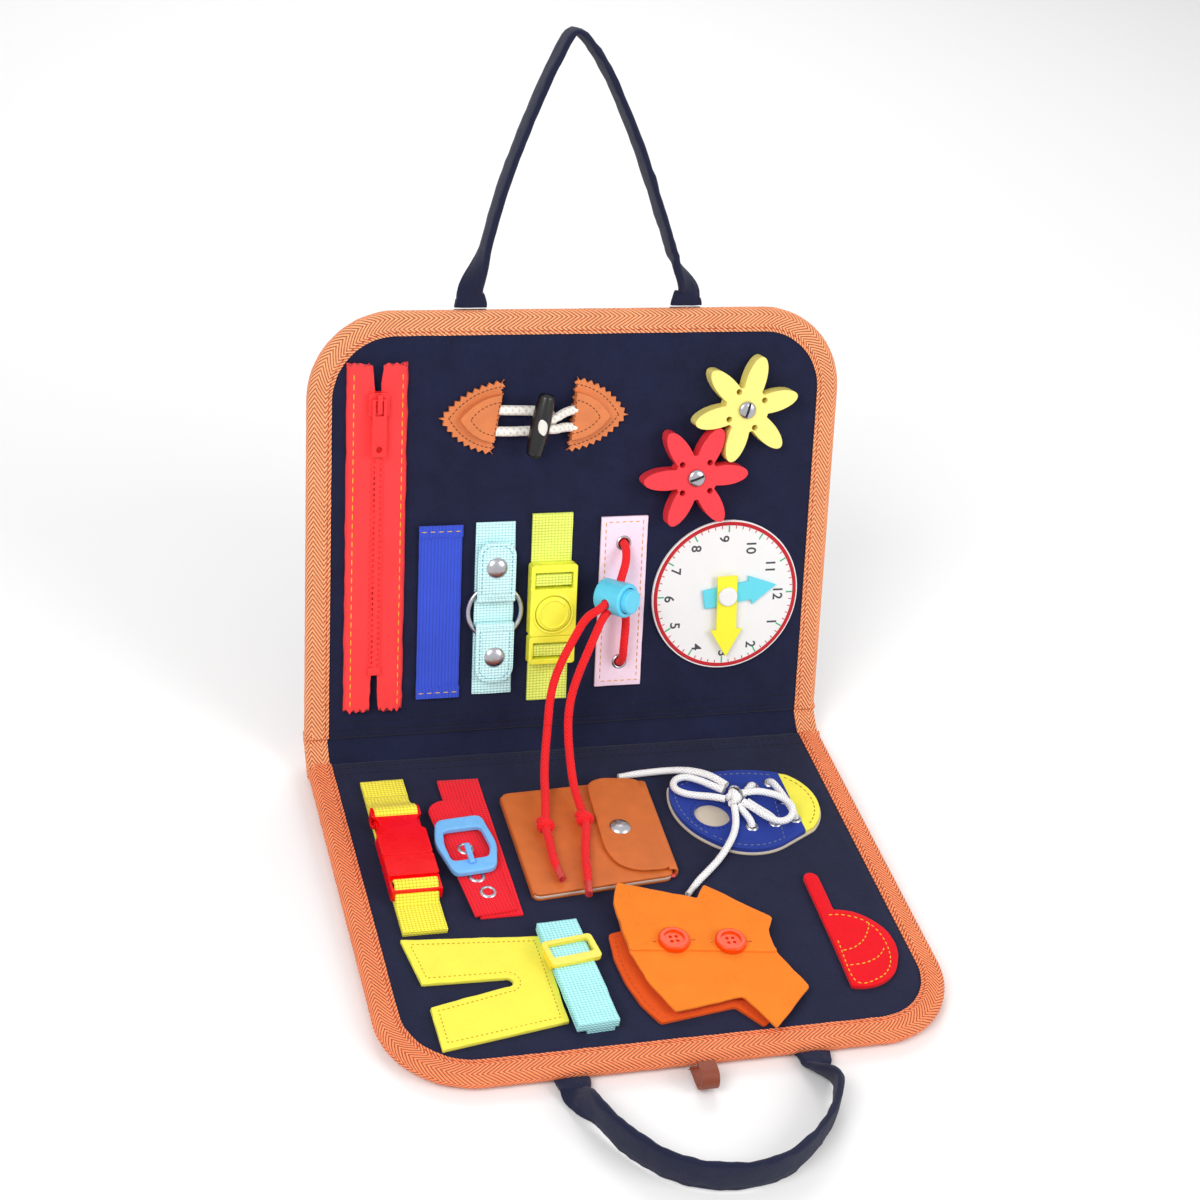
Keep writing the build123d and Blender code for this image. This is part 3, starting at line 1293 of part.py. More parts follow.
pants_belt_x = pants_x + 39.0
pants_belt_rise = 1.9
with BuildPart() as pants_belt:
    belt_middle = (pants_belt_x, pants_reach - 0.7)
    low = spot(lower_face, *belt_middle, pants_t, pants_belt_turn)
    slab(low, pants_belt_w, pants_belt_l, webbing_t)
    high_z = pants_t + webbing_t + pants_belt_rise
    high = spot(lower_face, *belt_middle, high_z, pants_belt_turn)
    slab(high, pants_belt_w, pants_belt_l, webbing_t)
    for end in (-1, 1):
        end_y = end * (pants_belt_l - webbing_t) / 2
        fold_end = Plane(low.location * Location((0, end_y, webbing_t)))
        slab(fold_end, pants_belt_w, webbing_t, pants_belt_rise)
    under = Plane(low.location * Location((1.5, 0, -pants_t)))
    slab(under, pants_belt_w - 6.0, pants_belt_l, pants_t)
    add(pants_felt.part, mode=Mode.SUBTRACT)

slider_turn = 5.0
slider_shift = 10.5
pants_slider_w = 23.3
pants_slider_l = 14.6
pants_rail_w = 2.0
with BuildPart() as pants_slider:
    slider_spot = Plane(low.location * Location((0.4, slider_shift, 0), (0, 0, slider_turn)))
    frame_z = webbing_t + pants_belt_rise + webbing_t + 0.3
    frame_plane = slider_spot.offset(frame_z)
    slab(frame_plane, pants_slider_w, pants_slider_l, pants_slider_t, corner=2.0)
    window_l = pants_slider_l - 6.4
    window_place = Plane(frame_plane.location * Location((0, 1.0, 0)))
    window_w = pants_slider_w - 2 * pants_rail_w - 0.6
    slab(window_place, window_w, window_l, pants_slider_t, corner=1.0, mode=Mode.SUBTRACT)
    rail_z = webbing_t + 0.3
    rail_x = (pants_slider_w - pants_rail_w) / 2
    for side in (-1, 1):
        rail = Plane(slider_spot.offset(rail_z).location * Location((side * rail_x, 0, 0)))
        slab(rail, pants_rail_w * 0.6, pants_slider_l - 5.0, frame_z - rail_z)
    slab(slider_spot.offset(rail_z), pants_slider_w - pants_rail_w * 0.4, 3.0, 1.0)

# ================================================================ shirt

shirt_at = (shirt_middle, panel_h - shirt_from_end)
shirt_front = (
    (-20.2, 45.8), (11.1, 32.9), (13.3, 31.7), (19.3, 40.2), (43.8, 15.8), (39.8, 7.8),
    (39.4, -4.8), (47.0, -26.4), (25.0, -47.9), (15.6, -28.5), (-16.2, -33.3), (-23.4, -12.0),
    (-25.7, 4.3), (-25.6, 20.0), (-24.9, 34.6),
)
shirt_front_above = (
    (-20.2, 45.8), (11.1, 32.9), (13.3, 31.7), (19.3, 40.2), (43.8, 15.8), (39.8, 7.8),
    (38.6, 0.5), (39.5, -5.1), (-25.7, 4.3), (-25.6, 20.0), (-24.9, 34.6),
)
shirt_back = (
    (-22.0, 42.0), (10.0, 31.0), (18.6, 38.0), (42.0, 14.6), (38.6, 1.0), (44.0, -26.0),
    (21.5, -43.0), (12.2, -30.6), (-22.6, -35.5), (-31.4, -10.4), (-30.9, 18.7), (-24.5, 20.0),
)
shirt_pad = ((-14.0, 34.0), (10.0, 24.0), (30.0, 10.0), (30.0, -14.0), (8.0, -20.0), (-12.0, -24.0))
shirt_step = 0.8


def on_shirt(shift, height):
    return spot(lower_face, shirt_at[0] + shift[0], shirt_at[1] - shift[1], height)


with BuildPart() as shirt_felt:
    sheet(on_shirt((0, 0), 0), shirt_back, shirt_back_t)
    pad_t = shirt_front_rise - shirt_back_t
    sheet(on_shirt((0, 0), shirt_back_t), shirt_pad, pad_t)
    sheet(on_shirt((0, 0), shirt_front_rise), shirt_front, shirt_front_t - shirt_step)
    above_z = shirt_front_rise + shirt_front_t - shirt_step
    sheet(on_shirt((0, 0), above_z), shirt_front_above, shirt_step)

shirt_button_pieces = []
for shift in ((-5.2, 6.6), (19.8, 2.6)):
    with BuildPart() as shirt_button:
        disc(on_shirt(shift, shirt_front_rise + shirt_front_t), shirt_button_r, shirt_button_t)
        fillet(shirt_button.faces().sort_by(Axis.Z)[-1].edges(), 1.0)
        button_top = on_shirt(shift, shirt_front_rise + shirt_front_t + shirt_button_t - 1.0)
        disc(button_top, shirt_button_r - 2.4, 1.0, mode=Mode.SUBTRACT)
        with BuildSketch(on_shirt(shift, shirt_front_rise + shirt_front_t)) as button_holes:
            with PolarLocations(1.9, 4, start_angle=45):
                Circle(0.8)
        extrude(button_holes.sketch, amount=shirt_button_t, mode=Mode.SUBTRACT)
    shirt_button_pieces.append(shirt_button.part)
shirt_buttons = Compound(children=shirt_button_pieces)

# ================================================================ cap

cap_at = (right_edge - cap_from_edge, panel_h - cap_from_end)
with BuildPart() as cap:
    with BuildSketch(spot(lower_face, cap_at[0], cap_at[1])) as cap_outline:
        with BuildLine():
            Line((-2.0, 17.0), (-1.6, 38.0))
            ThreePointArc((-1.6, 38.0), (-5.2, 41.6), (-8.7, 38.0))
            Polyline((-8.7, 38.0), (-9.3, -0.9), (-10.2, -30.0))
            ThreePointArc((-10.2, -30.0), (6.0, -29.0), (16.6, -17.0))
            ThreePointArc((16.6, -17.0), (15.8, 5.0), (-2.0, 17.0))
        make_face()
    extrude(cap_outline.sketch, amount=cap_t)

# ================================================================ hand over

pieces = {
    "lower_board": lower_board.part,
    "upper_board": upper_board.part,
    "lower_cover": lower_cover.part,
    "upper_cover": upper_cover.part,
    "lower_binding": lower_binding.part,
    "upper_binding": upper_binding.part,
    "spine": spine,
    "upper_handle": upper_handle.part,
    "lower_handle": lower_handle.part,
    "closure_tab": closure_tab.part,
    "zip_tapes": zip_tapes.part,
    "zip_teeth": zip_teeth.part,
    "zip_slider": zip_slider.part,
    "zip_pull": zip_pull.part,
    "elastic_band": elastic_band.part,
    "ring_strap_base": ring_strap,
    "metal_ring": metal_ring.part,
    "ring_flap_upper": ring_flap_upper.part,
    "ring_flap_lower": ring_flap_lower.part,
    "ring_snap_upper": ring_snap_upper.part,
    "ring_snap_lower": ring_snap_lower.part,
    "push_buckle_strap": push_buckle_strap.part,
    "push_buckle_socket": push_buckle_socket.part,
    "push_buckle_plug": push_buckle_plug.part,
    "push_buckle_button": push_buckle_button.part,
    "lacing_strip": lacing_strip.part,
    "lacing_eyelets": lacing_eyelet_pair.part,
    "red_cord": red_cord,
    "red_cord_ends": red_cord_ends,
    "cord_lock_body": cord_lock_body.part,
    "cord_lock_button": cord_lock_button.part,
    "toggle_patches": toggle_patches.part,
    "toggle_cords": toggle_cords,
    "toggle_horn": toggle_horn.part,
    "gear_yellow": gear_yellow.part,
    "gear_red": gear_red.part,
    "gear_rivets": gear_rivets,
    "clock_dial": clock_dial.part,
    "clock_minute_hand": clock_minute_hand.part,
    "clock_hour_hand": clock_hour_hand.part,
    "clip_strap": clip_strap.part,
    "clip_socket": clip_socket.part,
    "clip_plug": clip_plug.part,
    "belt_strap": belt_strap.part,
    "belt_buckle_frame": belt_buckle_frame.part,
    "belt_buckle_prong": belt_buckle_prong.part,
    "eyelets_lower": eyelets_lower,
    "wallet_body": wallet_body.part,
    "wallet_flap": wallet_flap.part,
    "wallet_snap": wallet_snap.part,
    "shoe_base": shoe_base.part,
    "shoe_upper": shoe_upper.part,
    "shoe_toe": shoe_toe.part,
    "shoelace": shoelace,
    "pants_felt": pants_felt.part,
    "pants_belt": pants_belt.part,
    "pants_slider": pants_slider.part,
    "shirt_felt": shirt_felt.part,
    "shirt_buttons": shirt_buttons,
    "cap": cap.part,
}
os.makedirs("parts", exist_ok=True)
for name, piece in pieces.items():
    piece.label = name
    export_step(piece, "parts/" + name + ".step")

print("panel", round(panel_w, 2), "by", round(panel_h, 2), "case nodes", len(pieces))
print("upper crease axis", [round(value, 3) for value in upper_axis])
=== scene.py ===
# %% [markdown]
# # A folding busy board
#
# The object is a small case of dark felt over two stiff boards, bound with orange tape. It
# stands open: one panel lies on the floor and the other leans back. Toys are sewn on both.
# The frame gives the place of every node, so each piece here is modelled flat, in
# millimetres, on its own panel, and is then settled into its place in metres.

# %% Load the frame
import bpy
import json
from math import atan2, ceil, cos, pi, radians, sin
from mathutils import Matrix, Vector, noise

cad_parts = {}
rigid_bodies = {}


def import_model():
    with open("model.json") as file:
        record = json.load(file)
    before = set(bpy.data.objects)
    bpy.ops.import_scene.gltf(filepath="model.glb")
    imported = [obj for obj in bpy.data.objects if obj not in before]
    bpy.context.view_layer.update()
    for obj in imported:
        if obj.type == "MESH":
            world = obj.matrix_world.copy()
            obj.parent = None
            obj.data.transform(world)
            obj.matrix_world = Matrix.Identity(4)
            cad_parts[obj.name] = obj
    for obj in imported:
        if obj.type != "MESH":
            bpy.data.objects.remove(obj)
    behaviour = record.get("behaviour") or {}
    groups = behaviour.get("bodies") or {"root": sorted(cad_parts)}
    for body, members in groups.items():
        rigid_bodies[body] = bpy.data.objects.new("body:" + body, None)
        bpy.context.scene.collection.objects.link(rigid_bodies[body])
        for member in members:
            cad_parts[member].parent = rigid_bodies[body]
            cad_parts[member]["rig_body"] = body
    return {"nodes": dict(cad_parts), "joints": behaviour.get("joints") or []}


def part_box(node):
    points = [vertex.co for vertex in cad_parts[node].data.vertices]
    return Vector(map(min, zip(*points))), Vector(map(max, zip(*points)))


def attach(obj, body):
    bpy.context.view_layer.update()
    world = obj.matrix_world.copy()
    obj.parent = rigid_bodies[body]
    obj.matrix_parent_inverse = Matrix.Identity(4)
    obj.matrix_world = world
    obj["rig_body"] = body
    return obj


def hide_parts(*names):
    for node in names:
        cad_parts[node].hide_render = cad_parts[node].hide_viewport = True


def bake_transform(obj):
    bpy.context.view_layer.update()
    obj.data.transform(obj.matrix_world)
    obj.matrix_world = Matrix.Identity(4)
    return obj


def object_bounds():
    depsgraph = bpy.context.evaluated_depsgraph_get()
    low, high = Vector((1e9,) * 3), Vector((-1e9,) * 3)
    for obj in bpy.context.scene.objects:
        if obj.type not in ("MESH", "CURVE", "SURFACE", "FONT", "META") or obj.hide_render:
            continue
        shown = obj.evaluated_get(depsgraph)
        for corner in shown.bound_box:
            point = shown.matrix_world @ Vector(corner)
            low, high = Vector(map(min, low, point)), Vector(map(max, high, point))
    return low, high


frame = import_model()
cad_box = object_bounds()
nodes = frame["nodes"]
joints = {joint["name"]: joint for joint in frame["joints"]}
mm = 0.001

# %% [markdown]
# ## Two panels and their millimetres
#
# A sewn toy is easy to describe on the cloth that carries it: so far across, so far from the
# fold, so high above the felt. Each panel therefore gets a matrix from its own millimetres to
# the room's metres. The joints of the frame say where the folds are, so nothing is typed twice.

# %% The two panels
across = Vector((1, 0, 0))
front = Vector(joints["ring_turn"]["axis"])
lean = front.cross(across)
binding_low, binding_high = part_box("lower_binding")
panel_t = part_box("lower_cover")[1][2] / mm
panel_w = (binding_high[0] - binding_low[0]) / mm
lower_crease = Vector(joints["lower_crease"]["pos_m"])
upper_crease = Vector(joints["upper_crease"]["pos_m"])
panel_h = (lower_crease.y - binding_low[1]) / mm


def panel_matrix(origin, upwards, outwards):
    """From a panel's millimetres to metres in the room: x across, y in the cloth, z out of it."""
    turn = Matrix((across, upwards, outwards)).transposed().to_4x4()
    return Matrix.Translation(origin) @ turn @ Matrix.Scale(mm, 4)


half_t = panel_t / 2 * mm
lower = panel_matrix(lower_crease + Vector((0, 0, half_t)), Vector((0, 1, 0)), Vector((0, 0, 1)))
upper = panel_matrix(upper_crease + front * half_t, lean, front)
room = Matrix.Scale(mm, 4)
on_lower, on_upper = (lower, "lower_panel"), (upper, "upper_panel")
print("panel", round(panel_w, 1), "by", round(panel_h, 1), "mm")

# %% [markdown]
# ## The camera
#
# The camera looks down at the open case from the front right. Its place is kept as a
# photographer would note it: how far round, how high, how far rolled, and how far away from
# the fold, with a small shift of the aim.

# %% The camera
camera_yaw = radians(-20.883)
camera_pitch = radians(35.261)
camera_roll = radians(9.652)
camera_distance = 1.13302
focal_length = 70.22
full_frame_width = 36
aim_behind_fold = 6
aim_right = -0.015664
aim_up = -0.066746
fold_line = Vector((0, lower_crease.y + aim_behind_fold * mm, panel_t * mm))

flat_reach = cos(camera_pitch)
back = Vector((sin(camera_yaw) * flat_reach, -cos(camera_yaw) * flat_reach, sin(camera_pitch)))
level_right = (-back).cross(Vector((0, 0, 1))).normalized()
level_up = level_right.cross(-back)
right = level_right * cos(camera_roll) + level_up * sin(camera_roll)
up = level_up * cos(camera_roll) - level_right * sin(camera_roll)
place = fold_line + back * camera_distance - right * aim_right - up * aim_up
bpy.ops.object.select_all(action="DESELECT")
bpy.ops.object.camera_add(location=place)
camera = bpy.context.active_object
camera.rotation_euler = Matrix((right, up, back)).transposed().to_euler()
camera.data.lens = focal_length
camera.data.sensor_width = full_frame_width
bpy.context.scene.camera = camera
print("camera", [round(value, 3) for value in place])

# %% [markdown]
# ## Shared surface effects
#
# Cloth, leather and plastic differ in how a small bump breaks the light. Each effect is a
# node group, made once and used by every material of its kind, so that all the felt on the
# board is the same felt in other colours. Patterns that follow a strap read the strap's own
# UV map, which is in millimetres, and all others read the object's coordinates.

# %% Node group helpers
def math_node(tree, operation, first, second=None):
    """One Math node. Its inputs are sockets or plain numbers."""
    node = tree.nodes.new("ShaderNodeMath")
    node.operation = operation
    for slot, value in enumerate((first, second)):
        if isinstance(value, (int, float)):
            node.inputs[slot].default_value = value
        elif value is not None:
            tree.links.new(value, node.inputs[slot])
    return node.outputs[0]


class Effect:
    """A node group in the making. It takes a colour and a few numbers, and gives a colour, a
    normal and, where it is asked for, a roughness."""

    def __init__(self, name, *more_results, **numbers):
        self.tree = bpy.data.node_groups.new(name, "ShaderNodeTree")
        self.socket("INPUT", "Colour", "Color")
        for number, value in numbers.items():
            self.socket("INPUT", number, "Float").default_value = value
        self.socket("OUTPUT", "Colour", "Color")
        for result in more_results:
            self.socket("OUTPUT", result, "Float")
        self.socket("OUTPUT", "Normal", "Vector")
        self.given = self.tree.nodes.new("NodeGroupInput").outputs
        self.results = self.tree.nodes.new("NodeGroupOutput").inputs
        self.places = self.tree.nodes.new("ShaderNodeTexCoord").outputs

    def socket(self, way, name, kind):
        kind = "NodeSocket" + kind
        return self.tree.interface.new_socket(name, in_out=way, socket_type=kind)

    def node(self, kind, **inputs):
        """A node. Its inputs are other nodes' sockets or plain values."""
        node = self.tree.nodes.new("ShaderNode" + kind)
        for name, value in inputs.items():
            if isinstance(value, bpy.types.NodeSocket):
                self.tree.links.new(value, node.inputs[name])
            else:
                node.inputs[name].default_value = value
        return node

    def give(self, result, socket):
        self.tree.links.new(socket, self.results[result])

    def op(self, operation, first, second=None):
        return math_node(self.tree, operation, first, second)

    def times(self, first, second):
        return self.op("MULTIPLY", first, second)

    def plus(self, first, second):
        return self.op("ADD", first, second)

    def noise(self, scale, detail=3.0, roughness=0.5):
        """Cloudy noise over the object's own coordinates."""
        place = self.places["Object"]
        node = self.node("TexNoise", Vector=place, Scale=scale, Detail=detail, Roughness=roughness)
        return node.outputs["Fac"]

    def shaded(self, colour, light, amount):
        """A colour made darker or lighter around its own value. Light 0.5 changes nothing."""
        factor = self.plus(self.times(self.op("SUBTRACT", light, 0.5), amount), 1.0)
        node = self.node("VectorMath", Vector=colour)
        node.operation = "SCALE"
        self.tree.links.new(factor, node.inputs["Scale"])
        return node.outputs[0]

    def strap_millimetres(self):
        """The strap's own millimetres: across it, and along it."""
        split = self.node("SeparateXYZ", Vector=self.places["UV"])
        return split.outputs[0], split.outputs[1]

    def wave(self, value, pitch, power=1.0):
        """Humps of 0 to 1, one for each pitch."""
        sine = self.op("SINE", self.times(value, pi / pitch))
        return self.op("POWER", self.op("ABSOLUTE", sine), power)

    def end(self, colour, height, strength, distance):
        """Gives the colour, and the height as a bump in the normal."""
        self.give("Colour", colour)
        bump = self.node("Bump", Height=height, Strength=strength, Distance=distance)
        self.give("Normal", bump.outputs["Normal"])
        return self.tree

    def woven(self, height, groove_shade, depth, distance):
        """Gives a weave's height as shade painted into the colour between its threads, and as a
        bump, with loose fibres over it.
        """
        fuzzy = self.plus(height, self.times(self.noise(1800.0, 3.0, 0.7), 0.35))
        threads = self.shaded(self.given["Colour"], height, groove_shade)
        return self.end(self.shaded(threads, self.noise(60.0), 0.25), fuzzy, depth, distance)


# %% [markdown]
# ### Felt
#
# Pressed felt has no threads. Its surface is short fibres that lie in all directions, over a
# cloudy variation where the fibres are thicker or thinner. Two noises do it: a fine one bumps
# the surface and a coarse one moves the colour.

# %% Felt, leather and plastic effects
def make_felt_effect():
    effect = Effect("felt_effect", Clouds=0.25, Fibre=0.3)
    clouds, fibres = effect.noise(70.0, 4.0, 0.6), effect.noise(1400.0, 4.0, 0.75)
    cloudy = effect.node("Mix", Factor=0.55, A=clouds, B=fibres).outputs[0]
    centred = effect.op("SUBTRACT", cloudy, 0.5)
    light = effect.plus(effect.times(centred, effect.given["Clouds"]), 0.5)
    fluff = effect.times(fibres, effect.given["Fibre"])
    height = effect.plus(fluff, effect.times(clouds, 0.5))
    return effect.end(effect.shaded(effect.given["Colour"], light, 3.6), height, 0.55, 0.0006)


def make_grain_effect():
    """Leather: small rounded cells with creases between them."""
    effect = Effect("grain_effect", Cell=900.0)
    cells = effect.node("TexVoronoi", Vector=effect.places["Object"], Scale=effect.given["Cell"])
    cells.feature = "SMOOTH_F1"
    clouds = effect.noise(90.0, 5.0, 0.6)
    height = effect.plus(cells.outputs["Distance"], effect.times(clouds, 2.0))
    return effect.end(effect.shaded(effect.given["Colour"], clouds, 0.45), height, 0.25, 0.0003)


def make_moulding_effect():
    """Moulded plastic: a nearly even colour and a faint unevenness from the mould."""
    effect = Effect("moulding_effect", "Roughness", Unevenness=0.3)
    slow, fine = effect.noise(130.0, 2.0, 0.5), effect.noise(2500.0, 2.0, 0.6)
    uneven = effect.times(slow, effect.given["Unevenness"])
    effect.give("Roughness", effect.plus(effect.times(slow, 0.16), 0.2))
    colour = effect.shaded(effect.given["Colour"], slow, 0.12)
    return effect.end(colour, effect.plus(uneven, effect.times(fine, 0.05)), 0.12, 0.0003)


# %% [markdown]
# ### Woven tapes
#
# Webbing is a grid of small humps, one for each place where a thread comes up. The binding is
# a herringbone: slanting ribs that change their slant from one column to the next. Both are
# short sums of sines over the strap's own millimetres. Where a weave is low, between its threads,
# its colour is painted darker as shade.

# %% Webbing, herringbone, ribs and braid
def make_webbing_effect(name, thread_across, thread_along, groove_shade, depth):
    effect = Effect(name)
    u, v = effect.strap_millimetres()
    humps = effect.times(effect.wave(u, thread_across, 0.5), effect.wave(v, thread_along, 0.7))
    return effect.woven(humps, groove_shade, depth, 0.0006)


def make_herringbone_effect(column, rib):
    effect = Effect("herringbone_effect")
    u, v = effect.strap_millimetres()
    slant = effect.op("PINGPONG", effect.plus(u, column * 0.4), column)
    ribs = effect.wave(effect.plus(v, effect.times(slant, 1.5)), rib, 0.8)
    return effect.woven(ribs, 1.05, 1.0, 0.0010)


def make_rib_effect(name, pitch):
    """Straight ribs along a strap, crossed by a finer thread, as on elastic."""
    effect = Effect(name)
    u, v = effect.strap_millimetres()
    threads = effect.times(effect.wave(v, 0.45), 0.3)
    return effect.woven(effect.plus(effect.wave(u, pitch, 0.5), threads), 0.4, 0.7, 0.0004)


def make_braid_effect(name, plaits_along, plaits_around):
    """Two families of strands that wind round a cord in opposite ways."""
    effect = Effect(name, Length=100.0)
    u, v = effect.strap_millimetres()
    along = effect.times(effect.times(u, effect.given["Length"]), plaits_along)
    around = effect.times(v, plaits_around)
    one_way = effect.wave(effect.plus(along, around), 1.0, 0.7)
    other_way = effect.wave(effect.op("SUBTRACT", along, around), 1.0, 0.7)
    height = effect.op("MAXIMUM", effect.times(one_way, 0.9), other_way)
    return effect.woven(height, 0.45, 0.9, 0.0006)


felt_effect = make_felt_effect()
grain_effect = make_grain_effect()
moulding_effect = make_moulding_effect()
# The fourth number of a webbing effect is the strength of the shade painted between its threads.
webbing_effect = make_webbing_effect("webbing_effect", 1.6, 1.35, 0.6, 0.6)
fine_weave_effect = make_webbing_effect("fine_weave_effect", 0.7, 0.6, 0.4, 0.4)
zip_weave_effect = make_webbing_effect("zip_weave_effect", 0.7, 0.6, 0.3, 0.2)
herringbone_effect = make_herringbone_effect(5.0, 2.3)
elastic_effect = make_rib_effect("elastic_effect", 1.6)
cord_effect = make_braid_effect("cord_effect", 0.55, 6.0)
rope_effect = make_braid_effect("rope_effect", 0.3, 3.0)
print("effects", len(bpy.data.node_groups))

# %% [markdown]
# ## Materials
#
# A finish is an effect with a colour. Colours are written as a painter mixes them, in the 0 to
# 255 of a screen, and are turned into the light values that the renderer counts in.

# %% Material makers
def paint(red, green, blue):
    """A screen colour as linear light."""
    light = [
        part / 12.92 if part < 0.04 else ((part + 0.055) / 1.055) ** 2.4
        for part in (value / 255 for value in (red, green, blue))
    ]
    return (*light, 1.0)


looks = {}


def finish(name, effect, colour, effect_values=None, **sockets):
    """A material: a shader whose colour and normal come from a shared effect."""
    material = looks[name] = bpy.data.materials.new(name)
    material.use_nodes = True
    tree = material.node_tree
    shader = tree.nodes["Principled BSDF"]
    group = tree.nodes.new("ShaderNodeGroup")
    group.node_tree = effect
    group.inputs["Colour"].default_value = colour
    for socket, value in (effect_values or {}).items():
        group.inputs[socket].default_value = value
    for result in group.outputs:
        socket = "Base Color" if result.name == "Colour" else result.name
        tree.links.new(result, shader.inputs[socket])
    for socket, value in sockets.items():
        shader.inputs[socket.replace("_", " ")].default_value = value
    material.diffuse_color = colour


def felt(name, colour, clouds=0.22, fibre=0.35):
    finish(
        name, felt_effect, colour, {"Clouds": clouds, "Fibre": fibre}, Roughness=0.95,
        Sheen_Weight=0.12, Specular_IOR_Level=0.15)


def cloth(name, colour, effect, roughness=0.8):
    finish(
        name, effect, colour, Roughness=roughness, Sheen_Weight=0.08, Specular_IOR_Level=0.25)


def thread(name, colour):
    cloth(name, colour, fine_weave_effect)


def webbing(name, colour):
    cloth(name, colour, webbing_effect)


def moulded(name, colour, coat=0.2):
    finish(
        name, moulding_effect, colour, Coat_Weight=coat * 0.5, Coat_Roughness=0.12,
        Specular_IOR_Level=0.32)


def leather(name, colour, cell=1100.0):
    finish(name, grain_effect, colour, {"Cell": cell}, Roughness=0.5, Specular_IOR_Level=0.4)


def metal(name, colour):
    finish(
        name, moulding_effect, colour, {"Unevenness": 0.1}, Metallic=1.0, Specular_IOR_Level=0.5)


# %% Every finish on the board
# Each maker's finishes: a screen colour, and what the maker wants besides.
finishes = {
    felt: {
        "navy_felt": ((27, 31, 58), 0.5), "wallet_edge": ((224, 200, 184), 0.1),
        "pink_felt": ((255, 228, 246), 0.12), "dial_white": ((240, 240, 240), 0.03, 0.1),
        "hand_yellow": ((252, 244, 66), 0.05, 0.1), "hand_blue": ((108, 218, 236), 0.05, 0.1),
        "shoe_blue": ((36, 60, 152), 0.15), "shoe_beige": ((214, 200, 180), 0.12),
        "yellow_felt": ((250, 240, 84), 0.12), "orange_felt": ((246, 132, 36), 0.2),
        "deep_orange_felt": ((226, 84, 22), 0.15), "red_felt": ((232, 10, 28), 0.2),
        "rope_end": ((236, 232, 224), 0.2), "board_grey": ((214, 212, 204), 0.05, 0.1),
    },
    thread: {
        "navy_strap": ((20, 25, 53),), "dark_thread": ((22, 24, 40),),
        "rust_thread": ((214, 88, 48),), "yellow_thread": ((250, 204, 60),),
        "orange_thread": ((250, 182, 76),), "brown_thread": ((120, 62, 34),),
        "grey_thread": ((120, 128, 150),), "olive_thread": ((176, 150, 24),),
        "dial_rim_red": ((214, 42, 52),), "amber_thread": ((222, 176, 36),),
        "dark_blue_thread": ((16, 32, 96),), "sky_thread": ((112, 190, 210),),
    },
    webbing: {
        "sky_webbing": ((208, 252, 255),), "waist_webbing": ((178, 248, 252),),
        "lime_webbing": ((236, 250, 112),), "yellow_webbing": ((253, 240, 72),),
        "red_webbing": ((248, 24, 44),),
    },
    cloth: {
        # One binding tape in two copies: the upper panel's and the spine's is painted paler, as
        # lit, and the lower panel's is painted darker and stronger, as shade.
        "orange_binding": ((252, 161, 112), herringbone_effect),
        "low_binding": ((255, 140, 90), herringbone_effect),
        "zip_cloth": ((253, 64, 66), zip_weave_effect),
        "blue_elastic": ((52, 78, 198), elastic_effect),
        "cord_red": ((236, 27, 34), cord_effect, 0.7),
        "white_rope": ((236, 232, 224), rope_effect),
        "white_lace": ((242, 242, 242), cord_effect, 0.75),
    },
    leather: {
        "brown_leather": ((132, 62, 40),), "toggle_leather": ((216, 125, 72),),
        "wallet_leather": ((208, 108, 46), 1500.0),
    },
    moulded: {
        "zip_plastic": ((246, 54, 56),), "lemon_plastic": ((250, 248, 72),),
        "cord_tip": ((206, 60, 58), 0.6), "lock_blue": ((100, 216, 250),),
        # The horn's black also paints the shade in the rivet slots.
        "horn_black": ((20, 20, 22), 0.5), "gear_yellow_plastic": ((253, 238, 134), 0.15),
        "gear_red_plastic": ((243, 60, 70), 0.15), "dial_ink": ((70, 72, 78), 0.0),
        "dial_green": ((60, 178, 120), 0.0), "clip_red": ((244, 0, 8), 0.35),
        "buckle_blue": ((122, 194, 254), 0.4), "slider_yellow": ((252, 226, 66), 0.4),
        "button_orange": ((242, 74, 0), 0.25), "lace_tip_white": ((236, 236, 236), 0.5),
    },
    metal: {"nickel": ((176, 176, 182),)},
}
for maker, materials in finishes.items():
    for name, (colour, *more) in materials.items():
        maker(name, paint(*colour), *more)
print("materials", len(bpy.data.materials))

# %% [markdown]
# ## Working helpers
#
# Operators act on what is selected, so the first helper selects one object and nothing else.
# A finished piece is settled: its mesh is moved to its place, its object stays at the origin,
# it gets a material by name, and it is handed to the body that carries it.

# %% Selecting, settling and smoothing
def only(piece):
    """Makes one object the selected and active one."""
    bpy.ops.object.select_all(action="DESELECT")
    piece.select_set(True)
    bpy.context.view_layer.objects.active = piece
    return piece


def added(operator, **options):
    """What an operator adds to the scene, alone in the selection."""
    bpy.ops.object.select_all(action="DESELECT")
    operator(**options)
    return bpy.context.active_object


def linked(name, data):
    """A new object in the scene, with this data."""
    piece = bpy.data.objects.new(name, data)
    bpy.context.scene.collection.objects.link(piece)
    return piece


def from_places(name, verts, faces=(), edges=()):
    mesh = bpy.data.meshes.new(name)
    mesh.from_pydata(verts, edges, faces)
    return linked(name, mesh)


def gathered(name, copies, sides):
    """One mesh of many copies of a shape. Each copy is its places, and sides are the faces."""
    verts, faces = [], []
    for copy in copies:
        faces += [tuple(len(verts) + corner for corner in side) for side in sides]
        verts += copy
    return from_places(name, verts, faces)


def taken_apart(piece):
    """The places and faces of a modelled shape, whose object is then removed."""
    shape = [vertex.co.copy() for vertex in piece.data.vertices]
    sides = [tuple(face.vertices) for face in piece.data.polygons]
    bpy.data.objects.remove(piece)
    return shape, sides


def edit(piece, select="SELECT"):
    only(piece)
    bpy.ops.object.mode_set(mode="EDIT")
    bpy.ops.mesh.select_all(action=select)


